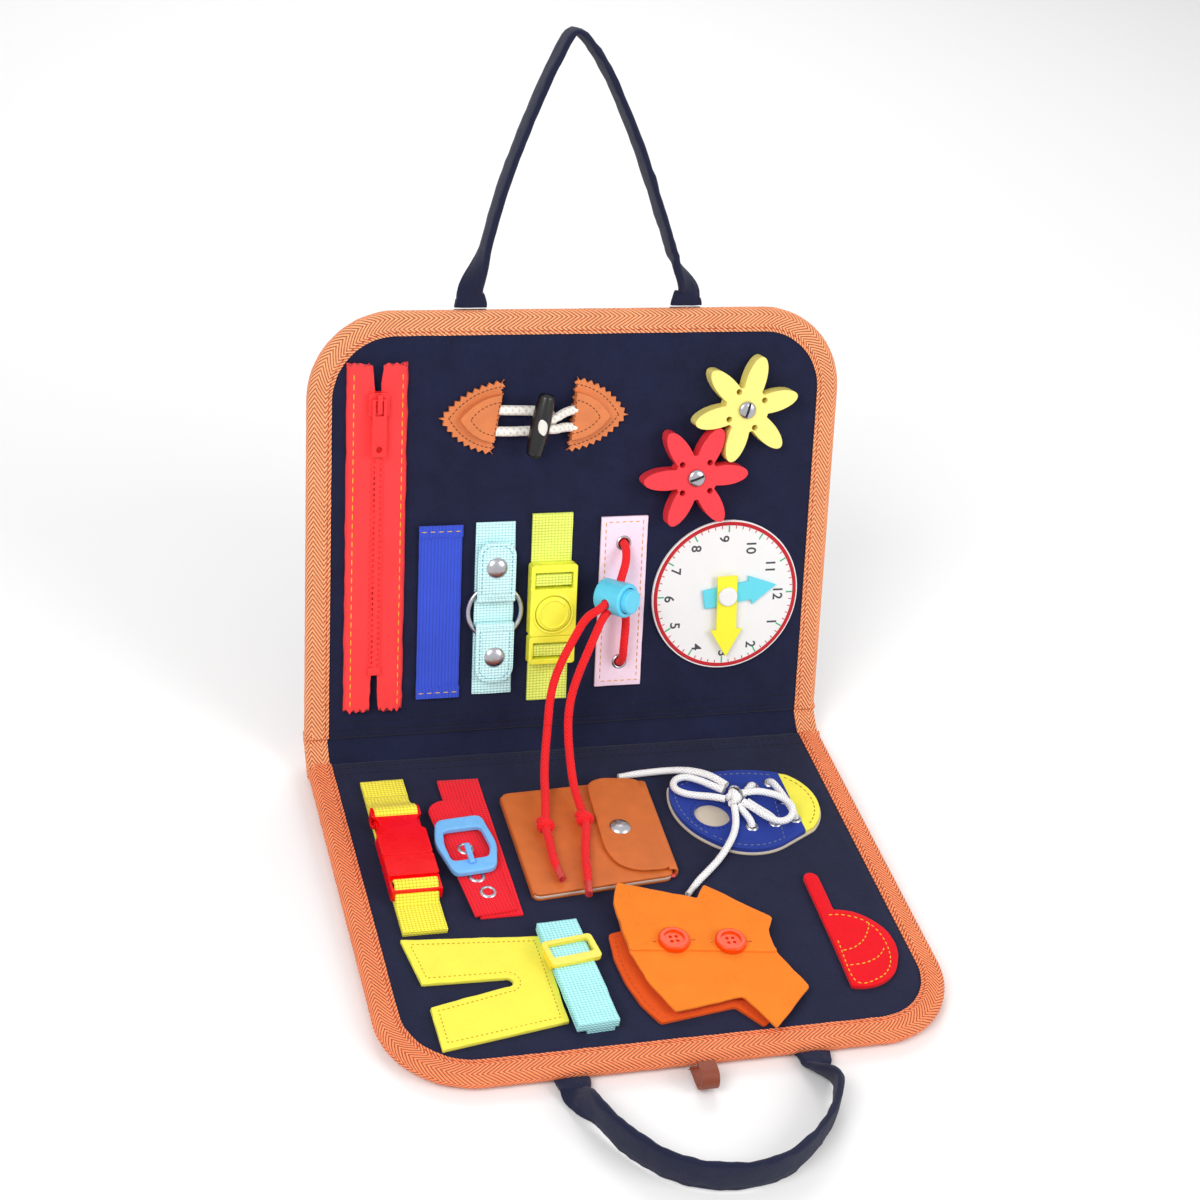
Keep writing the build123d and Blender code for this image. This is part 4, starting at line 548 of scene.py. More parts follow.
def leave_edit():
    bpy.ops.object.mode_set(mode="OBJECT")


def smooth(piece, angle):
    only(piece)
    bpy.ops.object.shade_smooth_by_angle(angle=radians(angle), keep_sharp_edges=False)
    return piece


def apply_modifiers(piece):
    only(piece)
    for modifier in list(piece.modifiers):
        bpy.ops.object.modifier_apply(modifier=modifier.name)


def flatten_shading(piece):
    """Lets the broad faces keep their own direction, so only the narrow rims look round."""
    even = piece.modifiers.new("even", "WEIGHTED_NORMAL")
    even.weight = 100
    even.keep_sharp = True
    apply_modifiers(piece)


def rounded_edges(piece, width, segments, sharper_than, smooth_angle):
    """Rounds every edge that is sharper than an angle."""
    rim = piece.modifiers.new("rim", "BEVEL")
    rim.width = width
    rim.segments = segments
    rim.limit_method = "ANGLE"
    rim.angle_limit = radians(sharper_than)
    apply_modifiers(piece)
    smooth(piece, smooth_angle)
    flatten_shading(piece)


def cut_away(piece, tool):
    """Cuts a closed shape out of a piece, and removes the shape."""
    cut = piece.modifiers.new("cut", "BOOLEAN")
    cut.operation = "DIFFERENCE"
    cut.object = tool
    cut.solver = "EXACT"
    apply_modifiers(piece)
    bpy.data.objects.remove(tool)


def dress(piece, body, material, slot, *replaced):
    """Gives a piece its material, and hands it to its body. The slot is not used."""
    piece.data.materials.clear()
    piece.data.materials.append(looks[material])
    if body:
        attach(piece, body)
    if replaced:
        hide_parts(*replaced)
    return piece


def settle(piece, panel, body, material, slot, *replaced):
    """Takes a piece from a panel's millimetres to its place, and hands it to its body."""
    piece.data.transform(panel @ piece.matrix_basis)
    piece.matrix_basis = Matrix.Identity(4)
    return dress(piece, body, material, slot, *replaced)


def joined(name, pieces):
    """Several objects made one, with its own name."""
    only(pieces[0])
    for piece in pieces[1:]:
        piece.select_set(True)
    bpy.ops.object.join()
    whole = bpy.context.active_object
    whole.name = name
    return whole


# %% [markdown]
# ### Softened copies
#
# Many parts already have their right outline in the frame, but a real edge is never sharp.
# A copy of the node is merged, its flat faces are joined, and a small bevel goes round every
# sharp edge. The copy then stands for the node.

# %% Softened copies of frame nodes
same_place = 0.01 * mm
same_plane = radians(0.4)


def softened(node, width, material, slot, segments=2):
    """A copy of a frame node with rounded edges. Width is in millimetres."""
    source = nodes[node]
    piece = linked(node + "_soft", source.data.copy())
    edit(piece)
    bpy.ops.mesh.remove_doubles(threshold=same_place)
    bpy.ops.mesh.dissolve_limited(angle_limit=same_plane)
    leave_edit()
    rounded_edges(piece, width * mm, segments, sharper_than=32, smooth_angle=40)
    return dress(piece, source["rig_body"], material, slot, node)


# %% [markdown]
# ### Straps
#
# A strap, a binding or a handle is one cross-section carried along a route. The helper lays
# the section at each place of the route and joins the rings. It writes the strap's own
# millimetres into its UV map, across and along, because a weave follows the strap and not
# the room.

# %% Straps along a route
# How often a strap's unevenness changes in a millimetre.
ripples_around, ripples_along = 0.3, 0.22


def flat_section(width, thickness, edge=0.25, steps=6):
    """A webbing's cross-section: flat faces and narrow rounded edges."""
    half, side = width / 2, thickness / 2
    flat = width - 2 * edge
    top = [(half - edge - flat * step / steps, side) for step in range(steps + 1)]
    left = [(-half, side - edge), (-half, edge - side)]
    bottom = [(-at, -side) for at, _ in top]
    return top + left + bottom + [(half, edge - side), (half, side - edge)]


def strap(name, route, sides, sections, ripple=0.0, pinked=None):
    """A strap along a route. Sides are the directions across it, and sections its cross-sections,
    one for all places or one for each. Pinked is the pitch and depth of zigzag ends."""
    route = [Vector(point) for point in route]
    last = len(route) - 1
    if not isinstance(sides, list):
        sides = [sides] * len(route)
    if not isinstance(sections[0], list):
        sections = [sections] * len(route)
    count = len(sections[0])
    verts, lengths, widths = [], [], []
    for index, point in enumerate(route):
        heading = (route[min(index + 1, last)] - route[max(index - 1, 0)]).normalized()
        out = Vector(sides[index]).cross(heading).normalized()
        side = heading.cross(out)
        lengths.append(lengths[-1] + (point - route[index - 1]).length if index else 0.0)
        section = sections[index]
        around = [0.0]
        for a, b in zip(section, section[1:] + section[:1]):
            around.append(around[-1] + (Vector(b) - Vector(a)).length)
        widths.append(around)
        for a, b in section:
            spot = Vector((a * ripples_around, b * ripples_around, lengths[-1] * ripples_along))
            uneven = ripple * noise.noise(spot)
            place = point + side * (a + uneven) + out * (b + uneven)
            if pinked and index in (0, last):
                tooth = abs((a / pinked[0]) % 1 - 0.5) * 2 * pinked[1]
                place += heading * (tooth if index == 0 else -tooth)
            verts.append(place)
    faces, uvs = [], []
    for index in range(last):
        for step in range(count):
            after = (step + 1) % count
            first, second = index * count, (index + 1) * count
            faces.append((first + step, first + after, second + after, second + step))
            u, w = widths[index][step], widths[index][step + 1]
            start, end = lengths[index], lengths[index + 1]
            uvs += [(u, start), (w, start), (w, end), (u, end)]
    for ring in (0, last):
        faces.append(tuple(ring * count + step for step in range(count)))
        uvs += [(a, lengths[ring] + b) for a, b in sections[ring]]
    piece = from_places(name, verts, faces)
    layer = piece.data.uv_layers.new(name="UVMap")
    for corner, uv in enumerate(uvs):
        layer.data[corner].uv = uv
    edit(piece)
    bpy.ops.mesh.normals_make_consistent(inside=False)
    leave_edit()
    return smooth(piece, 50)


def eased(points, steps=6):
    """A smooth line through given points of any dimension (Catmull and Rom's curve)."""
    points = [Vector(point) for point in points]
    ends = [points[0] * 2 - points[1]] + points + [points[-1] * 2 - points[-2]]
    line = []
    for a, b, c, d in zip(ends, ends[1:], ends[2:], ends[3:]):
        for step in range(steps):
            t = step / steps
            square, cube = a * 2 - b * 5 + c * 4 - d, b * 3 - a - c * 3 + d
            line.append((b * 2 + (c - a) * t + square * t * t + cube * t ** 3) * 0.5)
    line.append(points[-1])
    return line


# %% [markdown]
# ### Stitches
#
# A seam is one stitch repeated. One stitch is a small round bar, sunk a little at both ends.
# It is modelled once, and copies of its mesh are laid along the seam, all in one object.

# %% One stitch, laid along a seam
stitch = added(bpy.ops.mesh.primitive_uv_sphere_add, segments=8, ring_count=6, radius=1)
edit(stitch)
bpy.ops.transform.resize(value=(1, 0.28, 0.22))
leave_edit()
stitch_shape, stitch_sides = taken_apart(stitch)


def seam(name, line, pitch, length, height, thick=1.0, closed=False):
    """Stitches along a line of flat places, all at one height."""
    flat = [Vector((point[0], point[1], 0)) for point in line]
    if closed:
        flat.append(flat[0])
    stitches = []
    wait = pitch / 2
    size = Matrix.Diagonal((length / 2, thick, thick, 1))
    for start, end in zip(flat, flat[1:]):
        run = end - start
        turn = Matrix.Rotation(atan2(run.y, run.x), 4, "Z")
        while wait < run.length:
            middle = start + run * (wait / run.length)
            middle.z = height
            place = Matrix.Translation(middle) @ turn @ size
            stitches.append([place @ corner for corner in stitch_shape])
            wait += pitch
        wait -= run.length
    return smooth(gathered(name, stitches, stitch_sides), 60)


def arc(center, radius, start, end, steps=12):
    """Places on a circle, from one angle to another, in degrees."""
    x, y = center
    turns = [radians(start + (end - start) * step / steps) for step in range(steps + 1)]
    return [(x + radius * cos(turn), y + radius * sin(turn)) for turn in turns]


# %% [markdown]
# ## Cords
#
# The red lacing cord, the white shoelace and the toggle's ropes are real lengths of something
# limp. Each is a smooth curve over a few given places, with a round section, and its braid is
# laid at its length. The lacing cord leaves its two eyelets, meets in the cord lock, and hangs
# over the fold as two strands with a knot near each end.

# %% Places for the cords
lock_x, lock_reach, lock_height = 16.5, 68.5, 14.0
lock_tilt = 55.0
strand_half = 2.3
lock_pocket_floor = 5.5


def upper_place(x, reach, height):
    return upper @ Vector((x, reach, height)) / mm


lock_middle = upper_place(lock_x, lock_reach, lock_height)
lock_axis = across * cos(radians(lock_tilt)) + front * sin(radians(lock_tilt))
strand_out = (across * -0.729 + lean * -0.457 + front * 0.511).normalized()
strand_side = lock_axis.cross(strand_out)


def around_lock(turn):
    """A direction square to the lock's axis, turned from the way back to its top side."""
    return strand_out * -cos(radians(turn)) - strand_side * sin(radians(turn))


def at_lock(way, distance, shift=Vector()):
    return lock_middle + shift + way * distance


def length_of(line):
    return sum((b - a).length for a, b in zip(line, line[1:]))


def braid_to_length(material, name, length):
    """A cord's own copy of its material, with the braid at the cord's real length."""
    source = looks[material]
    if "Length" not in source.node_tree.nodes["Group"].inputs:
        return material
    own = looks[name + "_braid"] = source.copy()
    own.name = name + "_braid"
    own.node_tree.nodes["Group"].inputs["Length"].default_value = length
    return name + "_braid"


cord_lines = {}
thin_end = 0.72


def soft_cord(name, points, diameter, material, slot, body, replaced=(), taper=0):
    """A limp cord over places in the room's millimetres. Taper thins its last places."""
    curve = bpy.data.curves.new(name, "CURVE")
    curve.dimensions = "3D"
    curve.resolution_u = 10
    spline = curve.splines.new("NURBS")
    spline.points.add(len(points) - 1)
    for index, (point, place) in enumerate(zip(spline.points, points)):
        point.co = (*(Vector(place) * mm), 1)
        if index >= len(points) - taper:
            point.radius = thin_end
    spline.order_u = 3
    spline.use_endpoint_u = True
    spline.resolution_u = 10
    piece = linked(name, curve)
    bare = bpy.data.meshes.new_from_object(piece)
    cord_lines[name] = [vertex.co / mm for vertex in bare.vertices]
    curve.bevel_depth = diameter / 2 * mm
    curve.bevel_resolution = 4
    curve.use_fill_caps = True
    only(piece)
    bpy.ops.object.convert(target="MESH")
    piece = smooth(bpy.context.active_object, 60)
    braid = braid_to_length(material, name, length_of(cord_lines[name]))
    return dress(piece, body, braid, slot, *replaced)


# %% The red lacing cord
cord_d = 4.0
upper_way = around_lock(40)
lower_way = around_lock(-75)
left_shift = strand_side * -strand_half
right_shift = strand_side * strand_half
upper_strand_route = [
    upper_place(23.3, 91.6, 0.4), upper_place(23.3, 91.2, 3.9), upper_place(23.1, 88.2, 7.0),
    upper_place(22.3, 83.6, 9.2), at_lock(upper_way, 11.0), at_lock(upper_way, lock_pocket_floor),
]
lower_strand_route = [
    upper_place(23.8, 32.2, 0.4), upper_place(23.8, 32.7, 3.9), upper_place(23.8, 36.0, 6.9),
    upper_place(23.5, 41.8, 8.2), upper_place(23.9, 48.8, 8.1), upper_place(24.2, 55.6, 7.9),
    at_lock(lower_way, 11.0), at_lock(lower_way, lock_pocket_floor),
]
left_route = [
    at_lock(strand_out, lock_pocket_floor, left_shift), at_lock(strand_out, 11.5, left_shift),
    (0.3, 110.2, 77.3), (-5.0, 107.3, 67.5), (-10.6, 103.5, 57.8), (-14.6, 99.4, 48.8),
    (-17.0, 94.1, 40.0), (-18.5, 87.2, 31.5), (-20.9, 78.4, 24.3), (-23.6, 67.4, 19.0),
    (-25.8, 54.4, 15.9), (-28.6, 43.6, 14.6), (-30.1, 36.0, 13.8), (-30.1, 29.6, 13.5),
    (-30.9, 22.0, 13.2), (-31.4, 12.5, 13.1), (-30.6, 3.2, 13.1),
]
right_route = [
    at_lock(strand_out, lock_pocket_floor, right_shift), at_lock(strand_out, 11.5, right_shift),
    (4.2, 104.6, 71.0), (0.2, 101.2, 62.0), (-3.9, 97.2, 53.0), (-7.4, 92.4, 44.5),
    (-9.4, 86.4, 36.6), (-10.0, 79.8, 29.0), (-10.4, 71.7, 23.0), (-11.2, 61.2, 18.6),
    (-11.2, 53.0, 16.4), (-10.6, 45.4, 14.9), (-10.4, 37.6, 14.1), (-12.2, 31.0, 13.6),
    (-14.9, 22.2, 13.2), (-17.2, 12.4, 13.1), (-18.9, 2.2, 13.1), (-21.2, -7.6, 13.1),
]
red_cord = (cord_d, "cord_red", "red_braid")
upper_strand, lower_strand = (
    soft_cord(name, route, *red_cord, "upper_panel")
    for name, route in (
        ("lacing_upper_strand", upper_strand_route), ("lacing_lower_strand", lower_strand_route))
)
left_strand, right_strand = (
    soft_cord(name, route, *red_cord, None, ("red_cord", "red_cord_ends"), taper=1)
    for name, route in (("lacing_left_strand", left_route), ("lacing_right_strand", right_route))
)

# %% [markdown]
# A knot near the end of a cord is the cord itself, wound and pulled tight. It is modelled as
# one and a half fat turns of the same cord around the strand, drawn out along it.

# %% Knots and hard tips
def wound_knot(name, middle, heading, half, diameter, material, slot, body):
    """A cord wound once and a half around a place, as in a pulled thumb knot."""
    heading = heading.normalized()
    side = heading.cross(Vector((0, 0, 1))).normalized()
    rise = side.cross(heading)
    turns = []
    steps = 14
    wide = half - diameter * 0.42
    for step in range(steps + 1):
        share = step / steps
        turn = radians(-60 + 560 * share)
        forward = (share - 0.5) * diameter * 1.15 + sin(turn * 0.5) * diameter * 0.35
        place = middle + side * wide * cos(turn) + rise * wide * 0.8 * sin(turn)
        turns.append(place + heading * forward)
    return soft_cord(name, turns, diameter * 0.94, material, slot, body)


def thumb_knot(name, line, at, half, diameter, material, slot, body):
    """A thumb knot around a cord, at a distance along its line."""
    travelled = 0.0
    for start, end in zip(line, line[1:]):
        travelled += (end - start).length
        if travelled >= at:
            return wound_knot(name, end, end - start, half, diameter, material, slot, body)


knot_half = 4.2
left_line, right_line = cord_lines["lacing_left_strand"], cord_lines["lacing_right_strand"]
left_knot = thumb_knot("lacing_left_knot", left_line, 121.6, knot_half, *red_cord, "lower_panel")
right_knot = thumb_knot("lacing_right_knot", right_line, 108.6, knot_half, *red_cord, "lower_panel")


def hard_tip(name, line, length, diameter, material, slot, body):
    """The stiff sleeve at a cord's end."""
    covered, kept = 0.0, [line[-1]]
    for a, b in zip(line[::-1], line[-2::-1]):
        covered += (a - b).length
        kept.append(b)
        if covered > length:
            break
    return soft_cord(name, kept[::-1][::6] + [line[-1]], diameter, material, slot, body)


left_tip, right_tip = (
    hard_tip(name, line, 12.0, 3.6, "cord_tip", "red_braid", "lower_panel")
    for name, line in (("lacing_left_tip", left_line), ("lacing_right_tip", right_line))
)

# %% [markdown]
# The strands cross the fold. Their far parts lie on the wallet and stay there, and their near
# parts leave the lock. Each strand is cut in two where it passes the spine.

# %% Strands cut at the spine
def bend_strand(far, middle):
    """Cuts a strand in two at its middle place."""
    line = cord_lines[far.name]
    index = min(range(1, len(line) - 1), key=lambda at: (line[at] - Vector(middle)).length)
    heading = (line[index + 1] - line[index - 1]).normalized()
    near = far.copy()
    near.data = far.data.copy()
    near.name = far.name + "_near"
    bpy.context.scene.collection.objects.link(near)
    for half in (far, near):
        edit(half)
        bpy.ops.mesh.bisect(
            plane_co=line[index] * mm, plane_no=heading, use_fill=True,
            clear_inner=half is far, clear_outer=half is near)
        leave_edit()
    cord_lines[near.name], cord_lines[far.name] = line[:index + 1], line[index:]
    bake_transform(near)
    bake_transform(far)
    return near


left_near = bend_strand(left_strand, (-18.5, 87.2, 31.5))
right_near = bend_strand(right_strand, (-9.4, 86.4, 36.6))

# %% [markdown]
# ### Uneven cloth, weaves on copies, and round pieces
#
# Sewn cloth is never quite flat. A copy is cut into a grid and each place of its top is moved a
# little, always the same way for the same place. A strap that was copied from the frame gets
# its millimetres by laying the panel's own grid over it. Snap caps, rivets and eyelets are
# round, so each is half an outline, spun once around.

# %% Uneven cloth, weaves on copies, and round pieces
# Each kind of hollow: how often it comes in a millimetre, and its own layer of the noise.
hollows = ((0.045, 3.0), (0.13, 7.0))


def relaxed(piece, panel, step, lift, sway=0.0, floor_at=0.3, only_down=False):
    """Lets a flat piece lie a little uneven. What is below floor_at stays as it is."""
    flat = panel.inverted()
    places = [flat @ vertex.co for vertex in piece.data.vertices]
    only(piece)
    bpy.ops.mesh.customdata_custom_splitnormals_clear()
    edit(piece)
    for axis in (0, 1):
        low, high = min(place[axis] for place in places), max(place[axis] for place in places)
        normal = panel.to_3x3().col[axis].normalized()
        at = ceil(low / step + 0.01) * step
        while at < high:
            cut = Vector((0, 0, 0))
            cut[axis] = at
            bpy.ops.mesh.select_all(action="SELECT")
            bpy.ops.mesh.bisect(plane_co=panel @ cut, plane_no=normal)
            at += step
    leave_edit()
    for vertex in piece.data.vertices:
        place = flat @ vertex.co
        if place.z < floor_at:
            continue
        slow, quick = (
            noise.noise(Vector((place.x * often, place.y * often, layer)))
            for often, layer in hollows
        )
        rise = (slow + quick) * lift
        place.z += -abs(rise) if only_down else rise
        place.x += sway * noise.noise(Vector((place.x * 0.08, place.y * 0.16, 11.0)))
        place.y += sway * noise.noise(Vector((place.x * 0.16, place.y * 0.08, 17.0)))
        vertex.co = panel @ place
    return smooth(piece, 40)


def lay_weave(piece, panel, turn=0.0):
    """Writes the panel's millimetres into a copy's UV map, turned as the strap is turned."""
    flat = Matrix.Rotation(radians(-turn), 4, "Z") @ panel.inverted()
    mesh = piece.data
    layer = mesh.uv_layers.get("UVMap") or mesh.uv_layers.new(name="UVMap")
    layer.active = True
    for loop in mesh.loops:
        place = flat @ mesh.vertices[loop.vertex_index].co
        layer.data[loop.index].uv = (place.x + place.z, place.y + place.z)
    return piece


def turned(name, profile, place, steps=32):
    """A round piece: a profile of radius and height, spun around the axis out of the panel."""
    corners = [(radius, 0, height) for radius, height in profile]
    piece = from_places(name, corners, edges=list(zip(range(len(corners)), range(1, len(corners)))))
    edit(piece)
    bpy.ops.mesh.spin(steps=steps, angle=2 * pi, center=(0, 0, 0), axis=(0, 0, 1))
    bpy.ops.mesh.select_all(action="SELECT")
    bpy.ops.mesh.remove_doubles(threshold=0.001)
    bpy.ops.mesh.normals_make_consistent(inside=False)
    leave_edit()
    piece.location = place
    return smooth(piece, 42)


def round_rim(piece, edge, segments):
    """Rounds every sharp edge of a flat piece."""
    rounded_edges(piece, edge, segments, sharper_than=50, smooth_angle=45)


def cut_piece(name, outline, bottom, top, edge=0.25, segments=2):
    """A flat piece cut to an outline, with soft edges."""
    face = tuple(range(len(outline)))
    piece = from_places(name, [(x, y, bottom) for x, y in outline], [face])
    edit(piece)
    bpy.ops.mesh.extrude_region_move(TRANSFORM_OT_translate={"value": (0, 0, top - bottom)})
    bpy.ops.mesh.select_all(action="SELECT")
    bpy.ops.mesh.normals_make_consistent(inside=False)
    leave_edit()
    if edge:
        round_rim(piece, edge, segments)
    return piece


# %% [markdown]
# ## The case
#
# Each panel is two sheets of felt over a stiff board. The felt is pressed flat by its glue, but
# a long look shows shallow hollows in it. The cover is therefore a softened copy of the node,
# and its face sinks a little here and there, never above the toys' seams.

# %% Felt covers and boards
for side, panel in (("lower", lower), ("upper", upper)):
    cover = softened(side + "_cover", 0.15, "navy_felt", "navy_felt")
    relaxed(cover, panel, 7.0, 0.22, floor_at=-0.5, only_down=True)
    for place in nodes[side + "_board"].material_slots:
        place.material = looks["board_grey"]
    print(cover.name, "faces", len(cover.data.polygons))

# %% [markdown]
# ### Binding tape
#
# A herringbone tape is folded over the three outer edges of each panel and sewn through. Its
# cross-section is a rounded C. It is carried along the panel's outline, so the ribs follow the
# corners, and its inner edge overlaps the felt and is a little drawn in by the stitches.

# %% Binding tape
outwards = {"upper": upper, "lower": lower @ Matrix.Rotation(pi, 4, "Z")}
corner_r = 40.0
binding_w = 10.5
crease_clear = 1.6
tape_top, back_face = 0.72, -6.05
half_w = panel_w / 2
tape_section = [
    (10.9, 0.55), (8.6, 0.66), (6.4, 0.7), (4.2, 0.68), (2.4, 0.58), (1.2, 0.3), (0.4, -0.4),
    (0.05, -1.4), (0.0, -2.7), (0.05, -4.0), (0.4, -5.0), (1.2, -5.7), (2.4, -5.95),
    (6.4, -6.05), (10.9, -6.0), (10.9, -5.5), (10.0, -5.2), (10.0, -0.1), (10.9, 0.02),
]


def edge_places(inset, step=4.0):
    """Places along a panel's three outer edges, with the inward direction at each."""
    radius = corner_r - inset
    side_run = panel_h - corner_r - crease_clear
    count = int(side_run / step)
    places = [
        ((-half_w + inset, crease_clear + side_run * index / count), (1, 0, 0))
        for index in range(count)
    ]
    middle = (-half_w + corner_r, panel_h - corner_r)
    for degrees in range(180, 89, -5):
        turn = radians(degrees)
        spot = (middle[0] + radius * cos(turn), middle[1] + radius * sin(turn))
        places.append((spot, (-cos(turn), -sin(turn), 0)))
    top_run = panel_w - 2 * corner_r
    count = int(top_run / step)
    for index in range(1, count // 2 + 1):
        spot = (-half_w + corner_r + top_run * index / count, panel_h - inset)
        places.append((spot, (0, -1, 0)))
    mirrored = [((-x, y), (-inward[0], inward[1], 0)) for (x, y), inward in places[::-1]]
    return places + mirrored[1:] if count % 2 == 0 else places + mirrored


edge_line = edge_places(0.0)
seam_line = [spot for spot, _ in edge_places(9.3, 9.0)]
# The lower tape's colour is the binding painted darker, as shade, and the upper's is painted paler,
# as lit.
for side, tape_cloth in (("lower", "low_binding"), ("upper", "orange_binding")):
    tape = strap(
        side + "_tape", [(x, y, 0) for (x, y), _ in edge_line],
        [inward for _, inward in edge_line], tape_section, ripple=0.16,
    )
    settle(tape, outwards[side], side + "_panel", tape_cloth, "orange_binding", side + "_binding")
    rows = [seam("row", seam_line, 3.1, 1.9, height, 1.15) for height in (tape_top, back_face)]
    both = joined(side + "_tape_stitches", rows)
    settle(both, outwards[side], side + "_panel", "rust_thread", "orange_binding")
    print(tape.name, "faces", len(tape.data.polygons))

# %% [markdown]
# ### The soft spine
#
# Between the two panels is a soft strip that folds along both of its edges. The cloth runs on
# without a gap, so each crease gets a bridge from the panel to the spine. The bridge is thick
# where it leaves the panel and thin where it is pinched in the fold.

# %% The spine and its three bridges at each crease
spine_w = (upper_crease - lower_crease).length / mm
spine_up = (upper_crease - lower_crease).normalized()
spine_out = across.cross(spine_up)
spine = panel_matrix(lower_crease, spine_up, spine_out)
felt_w = panel_w - 2 * binding_w
end_x = half_w - binding_w / 2
bridge_l = 3.6
cloth_stretches = (
    ("felt", 0.0, felt_w, "navy_felt", "spine_felt", 0.0),
    ("left_tape", -end_x, binding_w, "orange_binding", "orange_binding", 0.55),
    ("right_tape", end_x, binding_w, "orange_binding", "orange_binding", 0.55),
)
# A bridge's places: its share of the way from the crease, and its lower and upper face.
bridge_shares = (
    (-1.0, -3.0, 3.0), (-0.6, -3.0, 3.0), (-0.42, -2.9, 2.75), (-0.2, -2.5, 1.9),
    (0.0, -2.0, 1.35), (0.25, -1.5, 1.2), (0.55, -1.25, 1.2), (1.0, -1.2, 1.2),
)


def block_section(width, low, high):
    """A cross-section with many places across its face, for cloth that wrinkles."""
    steps = max(4, int(width / 5))
    across_at = [width / 2 - width * step / steps for step in range(steps + 1)]
    return [(at, high) for at in across_at] + [(-at, low) for at in across_at]


for name, x, width, material, slot, more in cloth_stretches:
    thin = 1.2 + more
    run = spine_w - 2 * bridge_l + 0.6
    middle = strap(
        "spine_" + name, [(x, bridge_l - 0.3 + run * step / 6, 0) for step in range(7)],
        across, block_section(width, -thin, thin), ripple=0.5 if more == 0 else 0.15,
    )
    settle(middle, spine, "spine_strip", material, slot, "spine")
    for crease, side, sign in ((lower_crease, "lower", -1), (upper_crease, "upper", 1)):
        panel_up = Vector((0, 1, 0)) if side == "lower" else lean
        away = panel_up * sign
        into = spine_up * -sign
        route, sections = [], []
        for share, low, high in bridge_shares:
            way = away * -share if share < 0 else into * share
            route.append((crease + way * bridge_l * mm) / mm + Vector((x, 0, 0)))
            sections.append(block_section(width, low - more - 0.06, high + more + 0.06))
        if sign > 0:
            route, sections = route[::-1], sections[::-1]
        bridge = strap(side + "_crease_" + name, route, across, sections, ripple=0.12)
        bridge.data.transform(room)
        dress(bridge, None, material, slot)
        if sign < 0:
            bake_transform(bridge)
        else:
            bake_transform(bridge)

# %% Seams beside the creases
for side in ("lower", "upper"):
    rows = [
        seam("row", [(12 - half_w, reach), (half_w - 12, reach)], 3.4, 2.4, 0.02, 1.1)
        for reach in (5.0, 9.5)
    ]
    row = joined(side + "_crease_seams", rows)
    settle(row, outwards[side], side + "_panel", "dark_thread", "navy_felt")

# %% [markdown]
# ### Handles and closing tab
#
# A handle is a strip of cotton cloth, folded lengthwise and sewn shut. It leaves the panel flat,
# turns a quarter round within a few centimetres, and runs in a loop on its edge. The two ends
# are sewn into the back.

# %% The two handles
foot_height = -4.5
foot_start = panel_h + 1.9
foot_end = foot_start + 8.0
loop_start = foot_start + 14.0
# Where the feet are, how high the loop lies, and its places: across, and beyond its start.
handle_routes = {
    "upper": (
        (-53.0, 50.0), -4.5,
        ((-48.2, 7.7), (-41.3, 34.4), (-33.8, 56.4), (-26.2, 75.6), (-17.8, 94.6), (-9.2, 108.1),
         (2.2, 97.6), (12.3, 80.5), (22.7, 58.7), (31.4, 37.4), (39.2, 16.6), (43.0, 6.4)),
    ),
    "lower": (
        (-52.0, 54.0), 1.5,
        ((-49.0, 6.0), (-41.5, 22.0), (-31.0, 35.4), (-19.5, 43.5), (-5.0, 47.7), (9.0, 48.3),
         (23.5, 44.1), (37.0, 34.6), (49.0, 22.0), (56.0, 6.5)),
    ),
}


def folded_cloth(width, thickness):
    """The cross-section of folded cloth: round on the fold, a flat lip on the sewn side."""
    half, side = width / 2, thickness / 2
    top = [
        (half - 0.5, side * 0.75), (half - 1.6, side), (half - 4.5, side * 1.02),
        (0.0, side * 1.08), (-half + 4.5, side), (-half + 2.6, side * 0.9),
        (-half + 1.8, side * 0.62), (-half, side * 0.55),
    ]
    return [(half, 0.0)] + top + [(x, -y) for x, y in top[::-1]]


for side, (feet, loop_height, loop) in handle_routes.items():
    flip = 1 if side == "upper" else -1
    reaches = (foot_start - 1.0, foot_start + 3, foot_end)
    points = [(flip * feet[0], reach, foot_height) for reach in reaches]
    points += [(flip * x, loop_start + rise, loop_height) for x, rise in loop]
    points += [(flip * feet[1], reach, foot_height) for reach in reaches[::-1]]
    route = eased(points, 6)
    edges, sections = [], []
    for index, point in enumerate(route):
        from_end = min(index, len(route) - 1 - index)
        turn = radians(90 * min(1.0, max(0.0, (from_end - 8) / 11)))
        foot_way = 1 if index < len(route) / 2 else -1
        edges.append(Vector((flip * foot_way * cos(turn), 0, sin(turn))))
        pinch = 1 - 0.22 * sin(pi * min(1.0, from_end / 26)) ** 2
        sections.append(folded_cloth(15.0 * pinch, 3.0 / pinch))
    handle = strap(side + "_handle_cloth", route, edges, sections, ripple=0.5)
    body, node = side + "_handle_body", side + "_handle"
    settle(handle, outwards[side], body, "navy_strap", "navy_webbing", node)
    print(handle.name, "length", round(length_of(route)), "mm")

